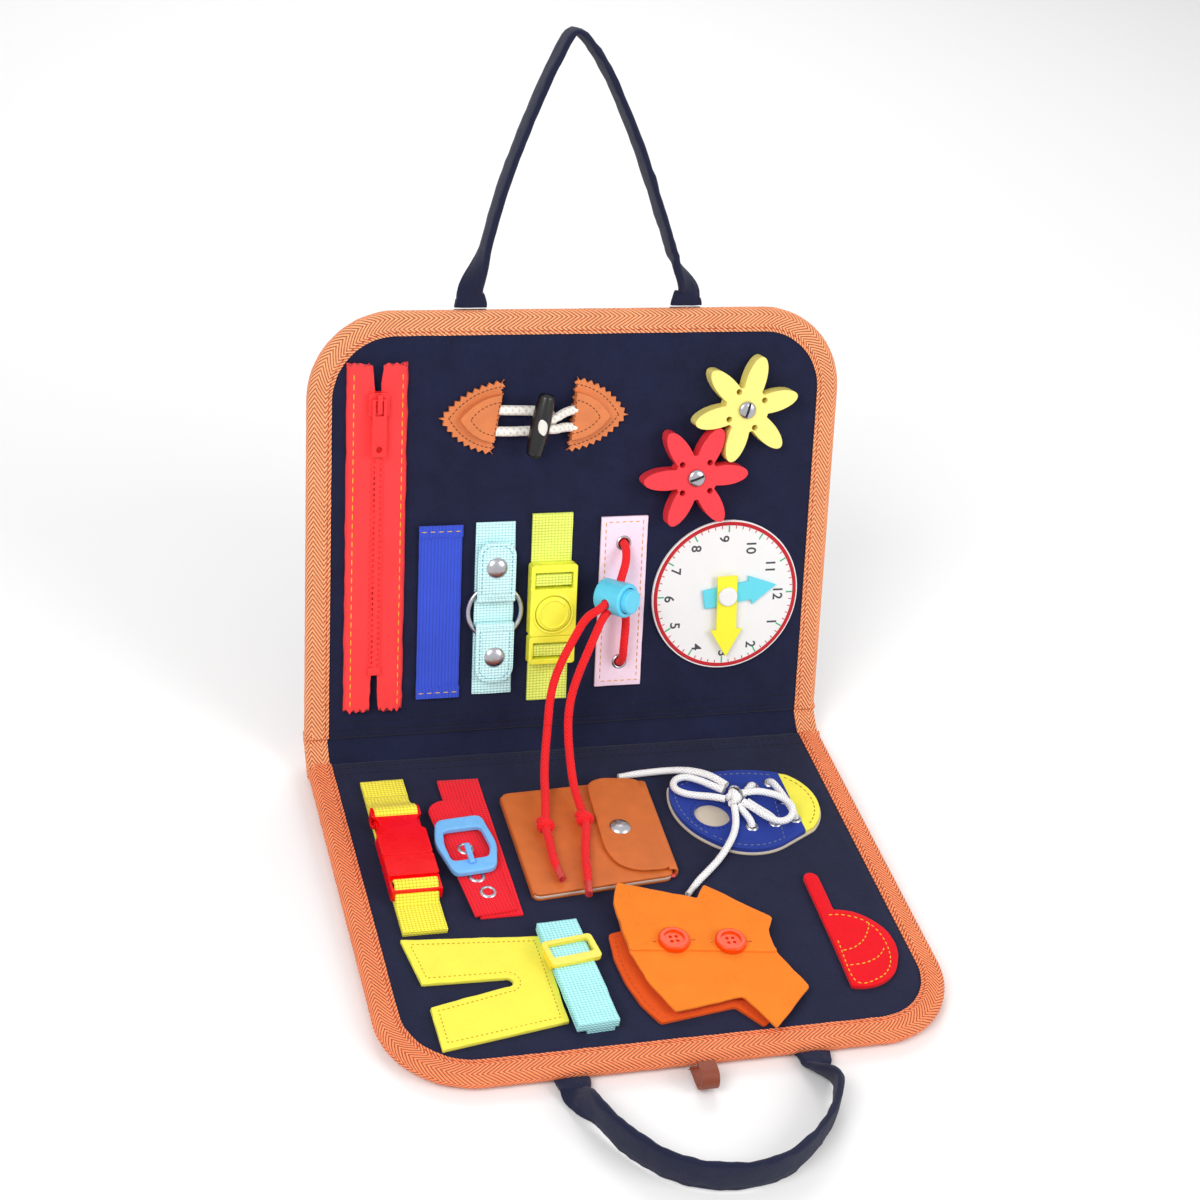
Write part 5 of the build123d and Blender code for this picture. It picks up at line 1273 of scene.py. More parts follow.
# %% Seams where the handles are sewn in, and the closing tab
for side, (feet, _, _) in handle_routes.items():
    flip = 1 if side == "upper" else -1
    boxes = []
    for foot in feet:
        x, low, high = flip * foot, panel_h - 26.0, panel_h - 12.5
        box = [(x - 5.6, low), (x + 5.6, low), (x + 5.6, high), (x - 5.6, high)]
        for line in (box + box[:1], box[::2], box[1::2]):
            boxes.append(seam("row", line, 2.6, 1.8, back_face))
    stitches = joined(side + "_handle_seams", boxes)
    settle(stitches, outwards[side], side + "_panel", "dark_thread", "navy_webbing")
softened("closure_tab", 0.3, "brown_leather", "brown_leather")
tab_seam = seam("closure_tab_seam", [(2.9, 205.2), (-2.9 - 6.0, 205.2)], 2.0, 1.3, -4.4, 0.9)
settle(tab_seam, outwards["lower"], "closure_tab_body", "brown_thread", "brown_leather")

# %% [markdown]
# ## Toys on the upper panel
#
# ### The zip
#
# A moulded zip is sewn on by the outer edges of its two tapes, and its ends are cut with
# pinking shears. Each tape is a strap whose first and last rings step in and out. Above the
# slider the tapes part a little, so the dark felt shows between them.

# %% Zip tapes
zip_x = -96.5
zip_reaches = [
    14, 17.5, 21, 25, 29, 33, *range(37, 158, 6), 161, 165, 168, 171, 174, 177.5, 181,
]


def tape_half(gap, sign):
    """The cross-section of one tape, from the slit at the given gap to its sewn edge."""
    spots = [
        (gap, 2.35), (gap, 2.85), (gap + 0.4, 3.1), (gap + 1.2, 3.0), (7.2, 2.95), (9.4, 3.05),
        (11.2, 2.95), (12.8, 2.5), (13.7, 1.2), (14.0, 0.1), (9.6, 0.1), (9.0, 2.2), (5.6, 2.25),
    ]
    fine = []
    for index, ((a, b), (c, d)) in enumerate(zip(spots, spots[1:] + spots[:1])):
        parts = 5 if index in (3, 8, 11) else 2
        fine += [
            (sign * (a + (c - a) * part / parts), b + (d - b) * part / parts)
            for part in range(parts)
        ]
    return fine


for name, sign in (("left", -1), ("right", 1)):
    sections = []
    for reach in zip_reaches:
        opened = max(0.0, (reach - 165) / 16) * 1.5 + max(0.0, (33 - reach) / 19) * 1.2
        sections.append(tape_half(1.15 + opened, sign))
    half = strap(
        "zip_tape_" + name, [(zip_x, reach, 0) for reach in zip_reaches], across, sections,
        ripple=0.5, pinked=(3.2, 2.6),
    )
    settle(half, *on_upper, "zip_cloth", "zip_tape", "zip_tapes")
    seam_x = zip_x + sign * 11.2
    row = seam("zip_seam_" + name, [(seam_x, 17), (seam_x, 178)], 4.3, 3.0, 3.05, 0.95)
    settle(row, *on_upper, "yellow_thread", "zip_tape")

# %% Zip teeth, slider and pull
softened("zip_teeth", 0.3, "zip_plastic", "zip_plastic")
softened("zip_slider", 0.45, "zip_plastic", "zip_plastic", segments=3)
softened("zip_pull", 0.3, "zip_plastic", "zip_plastic")
grip_rows = [
    (zip_x + column * 1.45, 143.6 + row * 1.7) for row in range(4) for column in (-1, 0, 1)
]


def studs(name, spots, radius, height, rise):
    """Small round bumps, one mesh, from one modelled dome."""
    dome_line = [(0, 1.0), (0.55, 0.85), (0.9, 0.45), (1.0, 0.0), (0.9, -0.2), (0, -0.2)]
    corners, sides = taken_apart(turned("dome", dome_line, (0, 0, 0), 10))
    domes = [
        [Vector((x + c.x * radius, y + c.y * radius, height + c.z * rise)) for c in corners]
        for x, y in spots
    ]
    return smooth(gathered(name, domes, sides), 50)


grip = studs("zip_pull_grip", grip_rows, 0.5, 6.6, 0.3)
settle(grip, upper, "zip_pull_body", "zip_plastic", "zip_plastic")

# %% [markdown]
# ### Elastic band
#
# A wide woven elastic is sewn down at both ends over a turned hem. It is a strap with fine ribs
# along it, a hem laid over each end, and a row of yellow stitches in each hem.

# %% Elastic band
elastic_x = -65.65
band_profile = (
    (19.4, 0.5), (21.5, 0.7), (27, 0.85), (45, 0.95), (62, 0.88), (80, 0.98), (96, 0.85),
    (101, 0.7), (103.0, 0.5),
)
route = eased([(elastic_x, reach, rise) for reach, rise in band_profile], 4)
band = strap("elastic_band_cloth", route, across, flat_section(20.5, 1.3, 0.4, 10), ripple=0.12)
settle(band, *on_upper, "blue_elastic", "blue_elastic", "elastic_band")
for name, low, high in (("low", 19.0, 24.6), ("high", 97.8, 103.4)):
    route = [(elastic_x, low + (high - low) * step / 4, 1.55) for step in range(5)]
    hem = strap(
        "elastic_hem_" + name, route, across, flat_section(21.0, 0.8, 0.3, 8), ripple=0.2)
    settle(hem, *on_upper, "blue_elastic", "blue_elastic")
    middle = (low + high) / 2
    line = [(elastic_x - 10, middle), (elastic_x + 10, middle)]
    row = seam("elastic_seam_" + name, line, 4.0, 2.7, 1.98, 0.9)
    settle(row, *on_upper, "yellow_thread", "blue_elastic")

# %% [markdown]
# ### Ring strap
#
# A light blue webbing holds a metal ring between two flaps, each closed by a metal snap. The
# strap is a softened copy and the flaps are cut anew, all with the weave laid over them. A snap
# is a domed cap, and its stem and stud are hidden in the flap.

# %% Ring strap and flaps
ring_x, ring_reach = -39.3, 61.0
base = softened("ring_strap_base", 0.2, "sky_webbing", "ring_webbing")
lay_weave(relaxed(base, upper, 6.0, 0.12, 0.25, floor_at=0.6), upper)


def tongue(name, length, width, bottom, thick, end_r):
    """A strap end with round corners: straight at y = 0, round at y = length."""
    half = width / 2
    outline = [(-half, 0.0), (half, 0.0)]
    outline += [(half - end_r + x, length - end_r + y) for x, y in arc((0, 0), end_r, 0, 90, 8)]
    outline += [(end_r - half + x, length - end_r + y) for x, y in arc((0, 0), end_r, 90, 180, 8)]
    return cut_piece(name, outline, bottom, bottom + thick, 0.3)


bend_route = eased(
    [(0, 0.6, 1.9), (0, 0.45, 2.9), (0, 0.75, 4.0), (0, 1.9, 4.62), (0, 4.0, 4.66)], 5)
cap_profile = [
    (0, 7.15), (1.6, 7.05), (3.0, 6.75), (4.1, 6.2), (4.7, 5.7), (5.0, 5.35), (4.8, 5.12),
    (1.25, 5.12), (1.25, 4.02), (1.95, 3.95), (2.0, 3.3), (1.7, 3.05), (0, 3.05),
]
for side, sign in (("upper", 1), ("lower", -1)):
    body = "ring_flap_" + side + "_body"
    fold = Matrix.Translation((ring_x, ring_reach + sign * 5.3, 0))
    flap_place = upper @ (fold @ Matrix.Rotation(0 if sign > 0 else pi, 4, "Z"))
    top = tongue("ring_flap_top_" + side, 29.1, 18.4, 4.0, 1.2, 7.0)
    settle(top, flap_place, body, "sky_webbing", "ring_webbing", "ring_flap_" + side)
    lay_weave(relaxed(top, flap_place, 5.0, 0.1, floor_at=3.0), flap_place)
    bend = strap(
        "ring_flap_bend_" + side, bend_route, across, flat_section(18.4, 1.2, 0.3, 6), ripple=0.1)
    settle(bend, flap_place, body, "sky_webbing", "ring_webbing")
    round_end = arc((2.2, 22.1), 5.0, 0, 90, 6) + arc((-2.2, 22.1), 5.0, 90, 180, 6)
    line = [(7.2, 3.0)] + round_end + [(-7.2, 3.0)]
    row = seam("ring_flap_seam_" + side, line, 2.2, 1.7, 5.22, 0.85)
    settle(row, flap_place, body, "sky_thread", "ring_webbing")
    snap = turned("ring_snap_cap_" + side, cap_profile, (0, 16.6, 0), 32)
    settle(snap, flap_place, body, "nickel", "silver_metal", "ring_snap_" + side)

# %% The metal ring
ring_middle = (ring_x, ring_reach, 2.6)
ring = added(
    bpy.ops.mesh.primitive_torus_add, major_radius=12.9, minor_radius=1.1, major_segments=64,
    minor_segments=16, location=ring_middle)
ring.name = "nickel_ring"
edit(ring)
bpy.ops.transform.resize(value=(1.0, 1.0, 0.98), center_override=ring_middle)
leave_edit()
settle(smooth(ring, 60), upper, "ring_body", "nickel", "silver_metal", "metal_ring")

# %% [markdown]
# ### Push-button buckle
#
# The buckle is lemon yellow plastic in two halves, on a lime strap. Its large round button has
# a raised ring, and a raised collar stands round the button.

# %% Push-button buckle
push_x = -11.95
push_strap = softened("push_buckle_strap", 0.2, "lime_webbing", "lime_webbing")
lay_weave(relaxed(push_strap, upper, 6.0, 0.12, 0.2, floor_at=0.6), upper)
for part, edge in (("socket", 0.7), ("plug", 0.7), ("button", 0.35)):
    softened("push_buckle_" + part, edge, "lemon_plastic", "lemon_plastic", segments=3)
ring_line = (
    (6.2, 8.3), (6.35, 8.75), (6.8, 8.95), (7.25, 8.75), (7.4, 8.3), (6.8, 8.2), (6.2, 8.3))
collar_line = (
    (8.95, 7.4), (9.0, 7.95), (9.5, 8.15), (10.0, 7.95), (10.2, 7.5), (9.5, 7.3), (8.95, 7.4))
for name, body, profile in (
    ("button_ring", "push_button_body", ring_line), ("collar", "upper_panel", collar_line),
):
    piece = turned("push_buckle_" + name, profile, (push_x, 60, 0), 48)
    settle(piece, upper, body, "lemon_plastic", "lemon_plastic")

# %% [markdown]
# ### Lacing strip and cord lock
#
# The lacing strip is thin pink felt with a dashed seam just inside its edge. An eyelet is a
# rolled flange around a hole. The cord lock is a barrel with a sprung button at its outer end.

# %% Lacing strip, eyelets and cord lock
lacing_x = 23.5
strip = softened("lacing_strip", 0.25, "pink_felt", "pink_felt")
relaxed(strip, upper, 5.0, 0.1, 0.2, floor_at=0.6)
left_x, right_x = lacing_x - 9.2, lacing_x + 9.2
frame_of_strip = [(left_x, 22.6), (right_x, 22.6), (right_x, 101.9), (left_x, 101.9)]
row = seam("lacing_seam", frame_of_strip, 3.3, 2.3, 1.56, 0.95, closed=True)
settle(row, *on_upper, "orange_thread", "pink_felt")


def eyelet(name, place, hole, flange, surface):
    """A rolled metal flange around a hole."""
    middle = (hole + flange) / 2
    return turned(name, [
        (hole, surface - 1.2), (hole, surface + 0.25), (hole + 0.25, surface + 0.55),
        (middle, surface + 0.68), (flange - 0.3, surface + 0.45), (flange, surface + 0.05),
        (flange - 0.3, surface - 0.12),
        (hole + 0.45, surface - 0.12), (hole + 0.45, surface - 1.2), (hole, surface - 1.2),
    ], (place[0], place[1], 0), 32)


rings = [eyelet("eyelet", spot, 2.3, 3.75, 1.5) for spot in ((23.3, 91.5), (23.8, 32.3))]
both = joined("lacing_eyelet_rings", rings)
settle(both, *on_upper, "nickel", "silver_metal", "lacing_eyelets")
softened("cord_lock_body", 1.1, "lock_blue", "lock_blue", segments=4)
softened("cord_lock_button", 1.0, "lock_blue", "lock_blue", segments=4)

# %% [markdown]
# ### Leather toggle
#
# Two leaf-shaped leather patches, cut with pinking shears, hold a white rope loop and the pair
# of strands that carries a black horn. Each patch is two layers: a flat one with the zigzag
# edge, and a puffed one sewn over it.

# %% Toggle patches
toggle_place = upper @ Matrix.Translation((-23.5, 153.0, 0))


def bowed(start, end, bulge, steps=40):
    """Places from start to end on a shallow bow to the left of the way."""
    start, end = Vector((*start, 0)), Vector((*end, 0))
    way = end - start
    left = Vector((-way.y, way.x, 0)).normalized()
    shares = [step / steps for step in range(steps)]
    return [start + way * share + left * bulge * 4 * share * (1 - share) for share in shares]


def leaf(tip, top, bottom, bulge, scale=1.0, about=(0, 0)):
    """A leaf outline that goes round from its tip, drawn towards a place by a scale."""
    sign = 1 if tip[0] < 0 else -1
    line = bowed(tip, top, sign * bulge) + bowed(top, bottom, 0.0, 30)
    line += bowed(bottom, tip, sign * bulge)
    middle = Vector((*about, 0))
    return [middle + (place - middle) * scale for place in line]


def spaced(line, gap):
    """Places at even distances along a closed line."""
    run = line + [line[0]]
    total = length_of(run)
    count = int(total / gap / 2) * 2
    places, travelled, index = [], 0.0, 0
    for number in range(count):
        goal = total * number / count
        while travelled + (run[index + 1] - run[index]).length < goal:
            travelled += (run[index + 1] - run[index]).length
            index += 1
        way = run[index + 1] - run[index]
        places.append(run[index] + way * ((goal - travelled) / way.length))
    return places


def pinked_line(line, gap, depth):
    """A zigzag along a closed line: every second place is drawn in."""
    places = spaced(line, gap)
    middle = sum(places, Vector()) / len(places)
    zigzag = []
    for index, place in enumerate(places):
        way = (places[(index + 1) % len(places)] - places[index - 1]).normalized()
        inward = Vector((way.y, -way.x, 0))
        if inward.dot(middle - place) < 0:
            inward = -inward
        zigzag.append(place + inward * (depth if index % 2 else -0.2))
    return [(place.x, place.y) for place in zigzag]


leather_pieces, stitch_rows = [], []
for tip, top, bottom, heart in (
    ((-44.3, 0.9), (-13.6, 18.4), (-18.8, -16.6), (-19.5, 0.9)),
    ((45.9, 0.8), (19.7, 19.2), (16.7, -16.4), (19.5, 0.9)),
):
    outline = leaf(tip, top, bottom, 3.8)
    leather_pieces.append(cut_piece("patch", pinked_line(outline, 1.75, 1.5), 0.0, 1.6, 0.2))
    inner = [(place.x, place.y) for place in leaf(tip, top, bottom, 3.8, 0.64, heart)]
    leather_pieces.append(cut_piece("patch_top", inner, 1.3, 5.2, 1.8, 4))
    for scale, height in ((0.82, 1.62), (0.44, 5.2)):
        line = leaf(tip, top, bottom, 3.8, scale, heart)
        stitch_rows.append(seam("row", line, 2.1, 1.5, height, 0.9, closed=True))
on_toggle = (toggle_place, "upper_panel")
leathers = joined("toggle_patch_leather", leather_pieces)
settle(leathers, *on_toggle, "toggle_leather", "toggle_leather", "toggle_patches")
stitches = joined("toggle_patch_seams", stitch_rows)
settle(stitches, *on_toggle, "brown_thread", "toggle_leather")

# %% Toggle ropes and horn
def toggle_rope(name, diameter, route, *replaced):
    spots = [toggle_place @ Vector(spot) / mm for spot in route]
    look = (diameter, "white_rope", "white_braid")
    return soft_cord("toggle_rope_" + name, spots, *look, "upper_panel", replaced)


rope_d = 4.6
rope_loop = toggle_rope("loop", rope_d, (
    (-25, 4.6, 2.7), (-19, 4.8, 2.8), (-13.5, 4.6, 3.2), (-6, 4.2, 2.4), (2, 3.8, 2.3),
    (8.6, 2.9, 2.3), (8.8, -4.5, 2.3), (2, -5.4, 2.3), (-6, -5.6, 2.4), (-13.5, -5.4, 3.2),
    (-19, -5.2, 2.8), (-25, -5, 2.7),
), "toggle_cords")
rope_strands = [
    toggle_rope(name, rope_d * 0.92, (
        (25.2, sign * 4.4, 2.7), (19.2, sign * 4.2, 2.9), (13.5, sign * 3.4, 5.6),
        (8.1, sign * 2.6 - 1.2, 9.2), (3.4, sign * 1.8 - 1.3, 9.6),
    ))
    for name, sign in (("low", -1), ("high", 1))
]
softened("toggle_horn", 0.6, "horn_black", "black_horn", segments=3)
horn_top = (1.3, -1.5, 9.6 + 3.9)
rope_in_horn = added(
    bpy.ops.mesh.primitive_uv_sphere_add, segments=24, ring_count=12, radius=1.0,
    location=horn_top)
rope_in_horn.name = "horn_rope"
rope_in_horn.rotation_euler = (0, 0, radians(-10.8))
edit(rope_in_horn)
bpy.ops.transform.resize(value=(2.3, 4.4, 1.05), center_override=horn_top)
leave_edit()
settle(smooth(rope_in_horn, 60), toggle_place, "toggle_horn_body", "rope_end", "white_braid")

# %% [markdown]
# ### Gears
#
# The two gears are foam plastic with six petals. What makes them look moulded is the broad
# rounding that follows every petal, so the outline is drawn anew as six ellipses round a hub,
# and the holes are cut after the rounding. Each turns on a domed rivet with a slot.

# %% Gears and rivets
def petal_outline(middle, turn, petals=6, steps=240):
    """Six ellipses that stand round a hub, as the outermost place in each direction."""
    hub, petal_at, long_half, short_half = 10.8, 14.0, 12.0, 4.9
    places = []
    for step in range(steps):
        angle = 2 * pi * step / steps
        reach = hub
        for petal in range(petals):
            off = angle - radians(turn) - 2 * pi * petal / petals
            a, b = cos(off) / long_half, sin(off) / short_half
            shift = -petal_at * cos(off) / long_half ** 2
            square = a * a + b * b
            root = shift * shift - square * (petal_at ** 2 / long_half ** 2 - 1)
            if root >= 0:
                reach = max(reach, (-shift + root ** 0.5) / square)
        places.append((middle[0] + reach * cos(angle), middle[1] + reach * sin(angle)))
    return places


def cut_round(piece, places, depth):
    """Cuts round holes through a piece. Places are x, y and radius."""
    for x, y, radius in places:
        cut_away(piece, added(
            bpy.ops.mesh.primitive_cylinder_add, vertices=24, radius=radius, depth=depth,
            location=(x, y, 5)))


def block(x, y, z, turn, size):
    return added(
        bpy.ops.mesh.primitive_cube_add, size=1, location=(x, y, z),
        rotation=(0, 0, radians(turn)), scale=size)


yellow_middle, red_middle = (78.74, 156.30), (55.35, 124.10)
ring_r, hole_r, axle_r = 9.7, 1.45, 2.25
for colour, middle, turn, first, material in (
    ("yellow", yellow_middle, 254.5, 27, "gear_yellow_plastic"),
    ("red", red_middle, 63.5, 48, "gear_red_plastic"),
):
    node, slot = "gear_" + colour, colour + "_gear"
    gear = cut_piece(node + "_petals", petal_outline(middle, turn), 1.2, 8.8, 1.5, 4)
    ways = [radians(first + 90 * quarter) for quarter in range(4)]
    ring = [
        (middle[0] + ring_r * cos(way), middle[1] + ring_r * sin(way), hole_r) for way in ways
    ]
    cut_round(gear, [(*middle, axle_r)] + ring, 14)
    smooth(gear, 40)
    flatten_shading(gear)
    settle(gear, upper, slot + "_body", material, slot, node)
    print(gear.name, "faces", len(gear.data.polygons))
rivet_line = [
    (0, 10.75), (1.4, 10.7), (2.8, 10.5), (3.7, 10.1), (4.15, 9.6), (4.15, 9.1), (2.0, 9.05),
    (2.0, 0.9), (4.2, 0.9), (4.2, 0.0), (0, 0.0),
]
rivet_pieces = []
for middle, turn in ((red_middle, 20), (yellow_middle, 75)):
    dome = turned("dome", rivet_line, (*middle, 0), 32)
    rivet_pieces.append(dome)
    cut_away(dome, block(*middle, 11.0, turn, (9.0, 1.2, 2.0)))
    # A thin black bar in each slot is painted shade at the slot's floor.
    shade = block(*middle, 9.98, turn, (7.2, 1.15, 0.1))
    settle(shade, *on_upper, "horn_black", "silver_metal").name = "rivet_slot_shade"
domes = joined("gear_rivet_domes", rivet_pieces)
settle(domes, *on_upper, "nickel", "silver_metal", "gear_rivets")

# %% [markdown]
# ### The clock
#
# The clock is a printed felt disc, with its twelve turned to the right. The red rim is a narrow
# tape sewn round it. Ticks are thin printed marks, sixty in all, and every fifth is longer and
# green. The numbers are plain text, made into a mesh and laid a hair above the felt.

# %% Dial, rim and ticks
dial_x, dial_reach = 76.25, 63.4
softened("clock_dial", 0.3, "dial_white", "dial_face")
rim = turned("dial_rim", [
    (34.75, 1.55), (34.9, 1.95), (35.6, 2.08), (36.3, 1.98), (36.6, 1.6), (36.6, 1.3),
    (34.75, 1.3), (34.75, 1.55),
], (dial_x, dial_reach, 0), 96)
settle(rim, *on_upper, "dial_rim_red", "dial_face")


def marks(name, every, skip, outer, inner, width, material):
    """Printed marks around the dial, as flat bars between two radii."""
    bars = []
    for number in range(0, 60, every):
        if skip and number % skip == 0:
            continue
        turn = radians(number * 6)
        way = Vector((cos(turn), sin(turn), 0))
        side = Vector((-sin(turn), cos(turn), 0)) * width / 2
        bars.append([
            Vector((dial_x, dial_reach, height)) + way * radius + side * sign
            for height in (1.55, 1.68)
            for radius, sign in ((inner, -1), (outer, -1), (outer, 1), (inner, 1))
        ])
    sides = ((0, 3, 2, 1), (4, 5, 6, 7), (0, 1, 5, 4), (1, 2, 6, 5), (2, 3, 7, 6), (3, 0, 4, 7))
    settle(gathered(name, bars, sides), *on_upper, material, "dial_face")


marks("dial_hour_marks", 5, 0, 34.6, 31.4, 0.7, "dial_green")
marks("dial_minute_marks", 1, 5, 34.6, 33.2, 0.4, "dial_rim_red")

# %% Numbers on the dial
number_places = {
    "9": (73.8, 97.5), "10": (87.9, 92.8), "11": (98.4, 82.8), "12": (103.1, 69.1),
    "1": (100.9, 54.5), "2": (90.6, 43.4), "3": (76.6, 39.5), "4": (62.7, 43.4),
    "5": (51.0, 54.8), "6": (47.4, 68.4), "7": (50.1, 82.1), "8": (59.8, 93.1),
}
number_shift, number_size = 6.0, 6.9
numbers = []
for text, (x, y) in number_places.items():
    place = (x, y - number_shift, 1.58)
    letters = added(bpy.ops.object.text_add, location=place, rotation=(0, 0, radians(-90))).data
    letters.body = text
    letters.size = number_size
    letters.align_x = letters.align_y = "CENTER"
    letters.extrude = 0.06
    letters.offset = 0.13
    bpy.ops.object.convert(target="MESH")
    bpy.ops.object.transform_apply(location=True, rotation=True, scale=True)
    numbers.append(bpy.context.active_object)
settle(joined("dial_numbers", numbers), *on_upper, "dial_ink", "dial_face")

# %% Clock hands
softened("clock_hour_hand", 0.25, "hand_blue", "blue_hand")
softened("clock_minute_hand", 0.25, "hand_yellow", "yellow_hand")

# %% [markdown]
# ## Toys on the lower panel
#
# ### Side-release buckle and belt
#
# Two sewn straps carry buckles. The yellow one has a side-release buckle of glossy red plastic.
# The red one has a light blue frame with a prong, and a tongue that lies a little askew, with
# rolled eyelets.

# %% Rounded outlines
def rounded(outline, radius, steps=6):
    """An outline with its corners rounded off."""
    corners = [Vector((*place, 0)) for place in outline]
    places = []
    for before, here, after in zip(corners[-1:] + corners, corners, corners[1:] + corners[:1]):
        reach = min(radius, (before - here).length / 2.05, (after - here).length / 2.05)
        start = here + (before - here).normalized() * reach
        end = here + (after - here).normalized() * reach
        for step in range(steps + 1):
            share = step / steps
            place = start * (1 - share) ** 2 + here * 2 * share * (1 - share) + end * share ** 2
            places.append((place.x, place.y))
    return places


# %% Side-release buckle
clip_band = softened("clip_strap", 0.2, "yellow_webbing", "yellow_webbing")
lay_weave(relaxed(clip_band, lower, 5.0, 0.15, 0.3, floor_at=0.6), lower)
wraps = (
    ("socket", "lower_panel", (
        (30, 1.9), (36, 3.2), (41, 6.4), (44.6, 9.4), (47.4, 10.6), (49.6, 10.3), (50.4, 9.2))),
    ("plug", "clip_plug_body", (
        (101.5, 2.0), (99.6, 3.6), (97.6, 6.6), (95.6, 8.9), (93.4, 9.4), (92.4, 8.8),
        (92.2, 7.8))),
)
for name, body, places in wraps:
    route = eased([(-96.5, -reach, height) for reach, height in places], 5)
    section = flat_section(19.6, 1.3, 0.3, 10)
    wrap = strap("clip_wrap_" + name, route, (1, 0, 0), section, ripple=0.1)
    settle(wrap, lower, body, "yellow_webbing", "yellow_webbing")
softened("clip_socket", 0.9, "clip_red", "red_plastic", segments=3)
softened("clip_plug", 0.8, "clip_red", "red_plastic", segments=3)

# %% Belt, its frame and prong
belt_at, shoe_at = (-67.55, -68.5), (70.0, -58.0)
belt_turn = 5.4
belt_corners = ((-70.5, -112), (-51, -112), (-51, -20), (-70.5, -20))
belt_layer = cut_piece("belt_layer", belt_corners, 0.0, 1.25, 0.3)
settle(belt_layer, *on_lower, "red_webbing", "red_webbing", "belt_strap")
lay_weave(relaxed(belt_layer, lower, 5.0, 0.15, 0.4, floor_at=0.6), lower)
tongue_place = lower @ Matrix.Translation((-66.75, -73, 0))
tongue_place = tongue_place @ Matrix.Rotation(radians(belt_turn), 4, "Z")
tongue_end = arc((3.25, 31.5), 6.5, 0, 90, 8) + arc((-1.75, 30), 8, 90, 180, 10)
belt_tongue = cut_piece("belt_tongue", [(-9.75, -38), (9.75, -38)] + tongue_end, 1.2, 2.5, 0.35, 3)
settle(belt_tongue, tongue_place, "lower_panel", "red_webbing", "red_webbing")
lay_weave(relaxed(belt_tongue, tongue_place, 5.0, 0.15, 0.3, floor_at=1.6), tongue_place)
frame_outer = (
    (-11.2, 16.6), (10.6, 18.6), (13.8, -1.5), (10.2, -17.4), (-9.6, -19.4), (-14.4, 2.0))
frame_inner = (
    (-8.9, 9.4), (8.6, 10.8), (10.4, -2.0), (8.4, -9.4), (-9.0, -11.0), (-10.2, 0.0))
frame_ring = cut_piece("belt_frame_ring", rounded(frame_outer, 4.0), 2.9, 6.0, 0)
cut_away(frame_ring, cut_piece("window", rounded(frame_inner, 2.6), 0, 9, 0))
round_rim(frame_ring, 0.95, 4)
frame_place = lower @ Matrix.Translation((*belt_at, 0))
settle(frame_ring, frame_place, "lower_panel", "buckle_blue", "buckle_blue", "belt_buckle_frame")
softened("belt_buckle_prong", 0.35, "buckle_blue", "buckle_blue", segments=3)

# %% Eyelets of the belt and the shoe
belt_holes = ((-0.2, -0.2), (0.8, -18.6), (3.6, -29.0))
shoe_holes = ((8.7, 15.6), (18.3, 17.2), (-0.8, 14.2), (-0.6, -11.9), (11.5, -10.5), (22.0, -8.9))
rings = [
    eyelet("eyelet", (at[0] + x, at[1] + y), *sizes)
    for at, holes, sizes in (
        (belt_at, belt_holes, (2.3, 3.9, 2.42)), (shoe_at, shoe_holes, (1.75, 3.2, 3.4)))
    for x, y in holes
]
whole = joined("lower_eyelet_rings", rings)
settle(whole, *on_lower, "nickel", "silver_metal", "eyelets_lower")

# %% [markdown]
# ### Wallet
#
# The wallet is two sheets of tan leather with a pale felt between them, which shows as a light
# line at the edge. Its flap starts behind the right edge, comes round it and is held by a snap.

# %% Inset outlines
def inset(outline, amount):
    """An outline moved inwards everywhere by the same amount."""
    corners = [Vector((*place, 0)) for place in outline]
    area = sum(a.x * b.y - b.x * a.y for a, b in zip(corners, corners[1:] + corners[:1]))
    sign = 1 if area > 0 else -1
    places = []
    for before, here, after in zip(corners[-1:] + corners, corners, corners[1:] + corners[:1]):
        come, go = (here - before).normalized(), (after - here).normalized()
        square = Vector((-come.y, come.x, 0)) * sign
        other = Vector((-go.y, go.x, 0)) * sign
        middle = (square + other).normalized()
        place = here + middle * amount / max(0.35, middle.dot(square))
        places.append((place.x, place.y))
    return places


# %% Wallet
wallet_place = lower @ Matrix.Translation((-9.0, -67.0, 0))
on_wallet = (wallet_place, "lower_panel")
wallet_outline = rounded(((-35.0, 31.7), (33.6, 35.2), (31.6, -31.0), (-35.3, -36.9)), 4.0)
under = cut_piece("wallet_leaf", wallet_outline, 0.0, 1.45, 0.35)
over = cut_piece("wallet_leaf", wallet_outline, 2.45, 4.0, 0.4, 3)
leaves = joined("wallet_leaves", [under, over])
settle(leaves, *on_wallet, "wallet_leather", "tan_leather", "wallet_body")
relaxed(leaves, wallet_place, 6.0, 0.12, floor_at=2.0)
spine_outline = ((-35.7, -35.2), (-33.4, -35.0), (-33.2, 30.0), (-35.4, 30.2))
spine = cut_piece("wallet_spine", spine_outline, 0.05, 3.95, 0.9, 4)
settle(spine, *on_wallet, "wallet_leather", "tan_leather")
lining = cut_piece("wallet_lining", inset(wallet_outline, -0.1), 1.3, 2.6, 0.3)
settle(lining, *on_wallet, "wallet_edge", "tan_leather")
flap_outline = rounded((
    (34.0, 33.6), (14.5, 36.2), (7.0, 33.0), (5.9, 22.0), (3.6, -12.0), (6.5, -22.5),
    (14.5, -28.0), (32.2, -28.6),
), 7.0)
flap_leaf = cut_piece("wallet_flap_leaf", flap_outline, 4.6, 5.8, 0.4, 3)
settle(flap_leaf, wallet_place, "wallet_flap_body", "wallet_leather", "tan_leather", "wallet_flap")
relaxed(flap_leaf, wallet_place, 5.0, 0.1, floor_at=4.0)
fold_spots = (
    (30.6, 5.2), (32.8, 5.2), (34.0, 4.8), (34.6, 3.9), (34.65, 2.6), (34.4, 1.4), (34.2, 0.7))
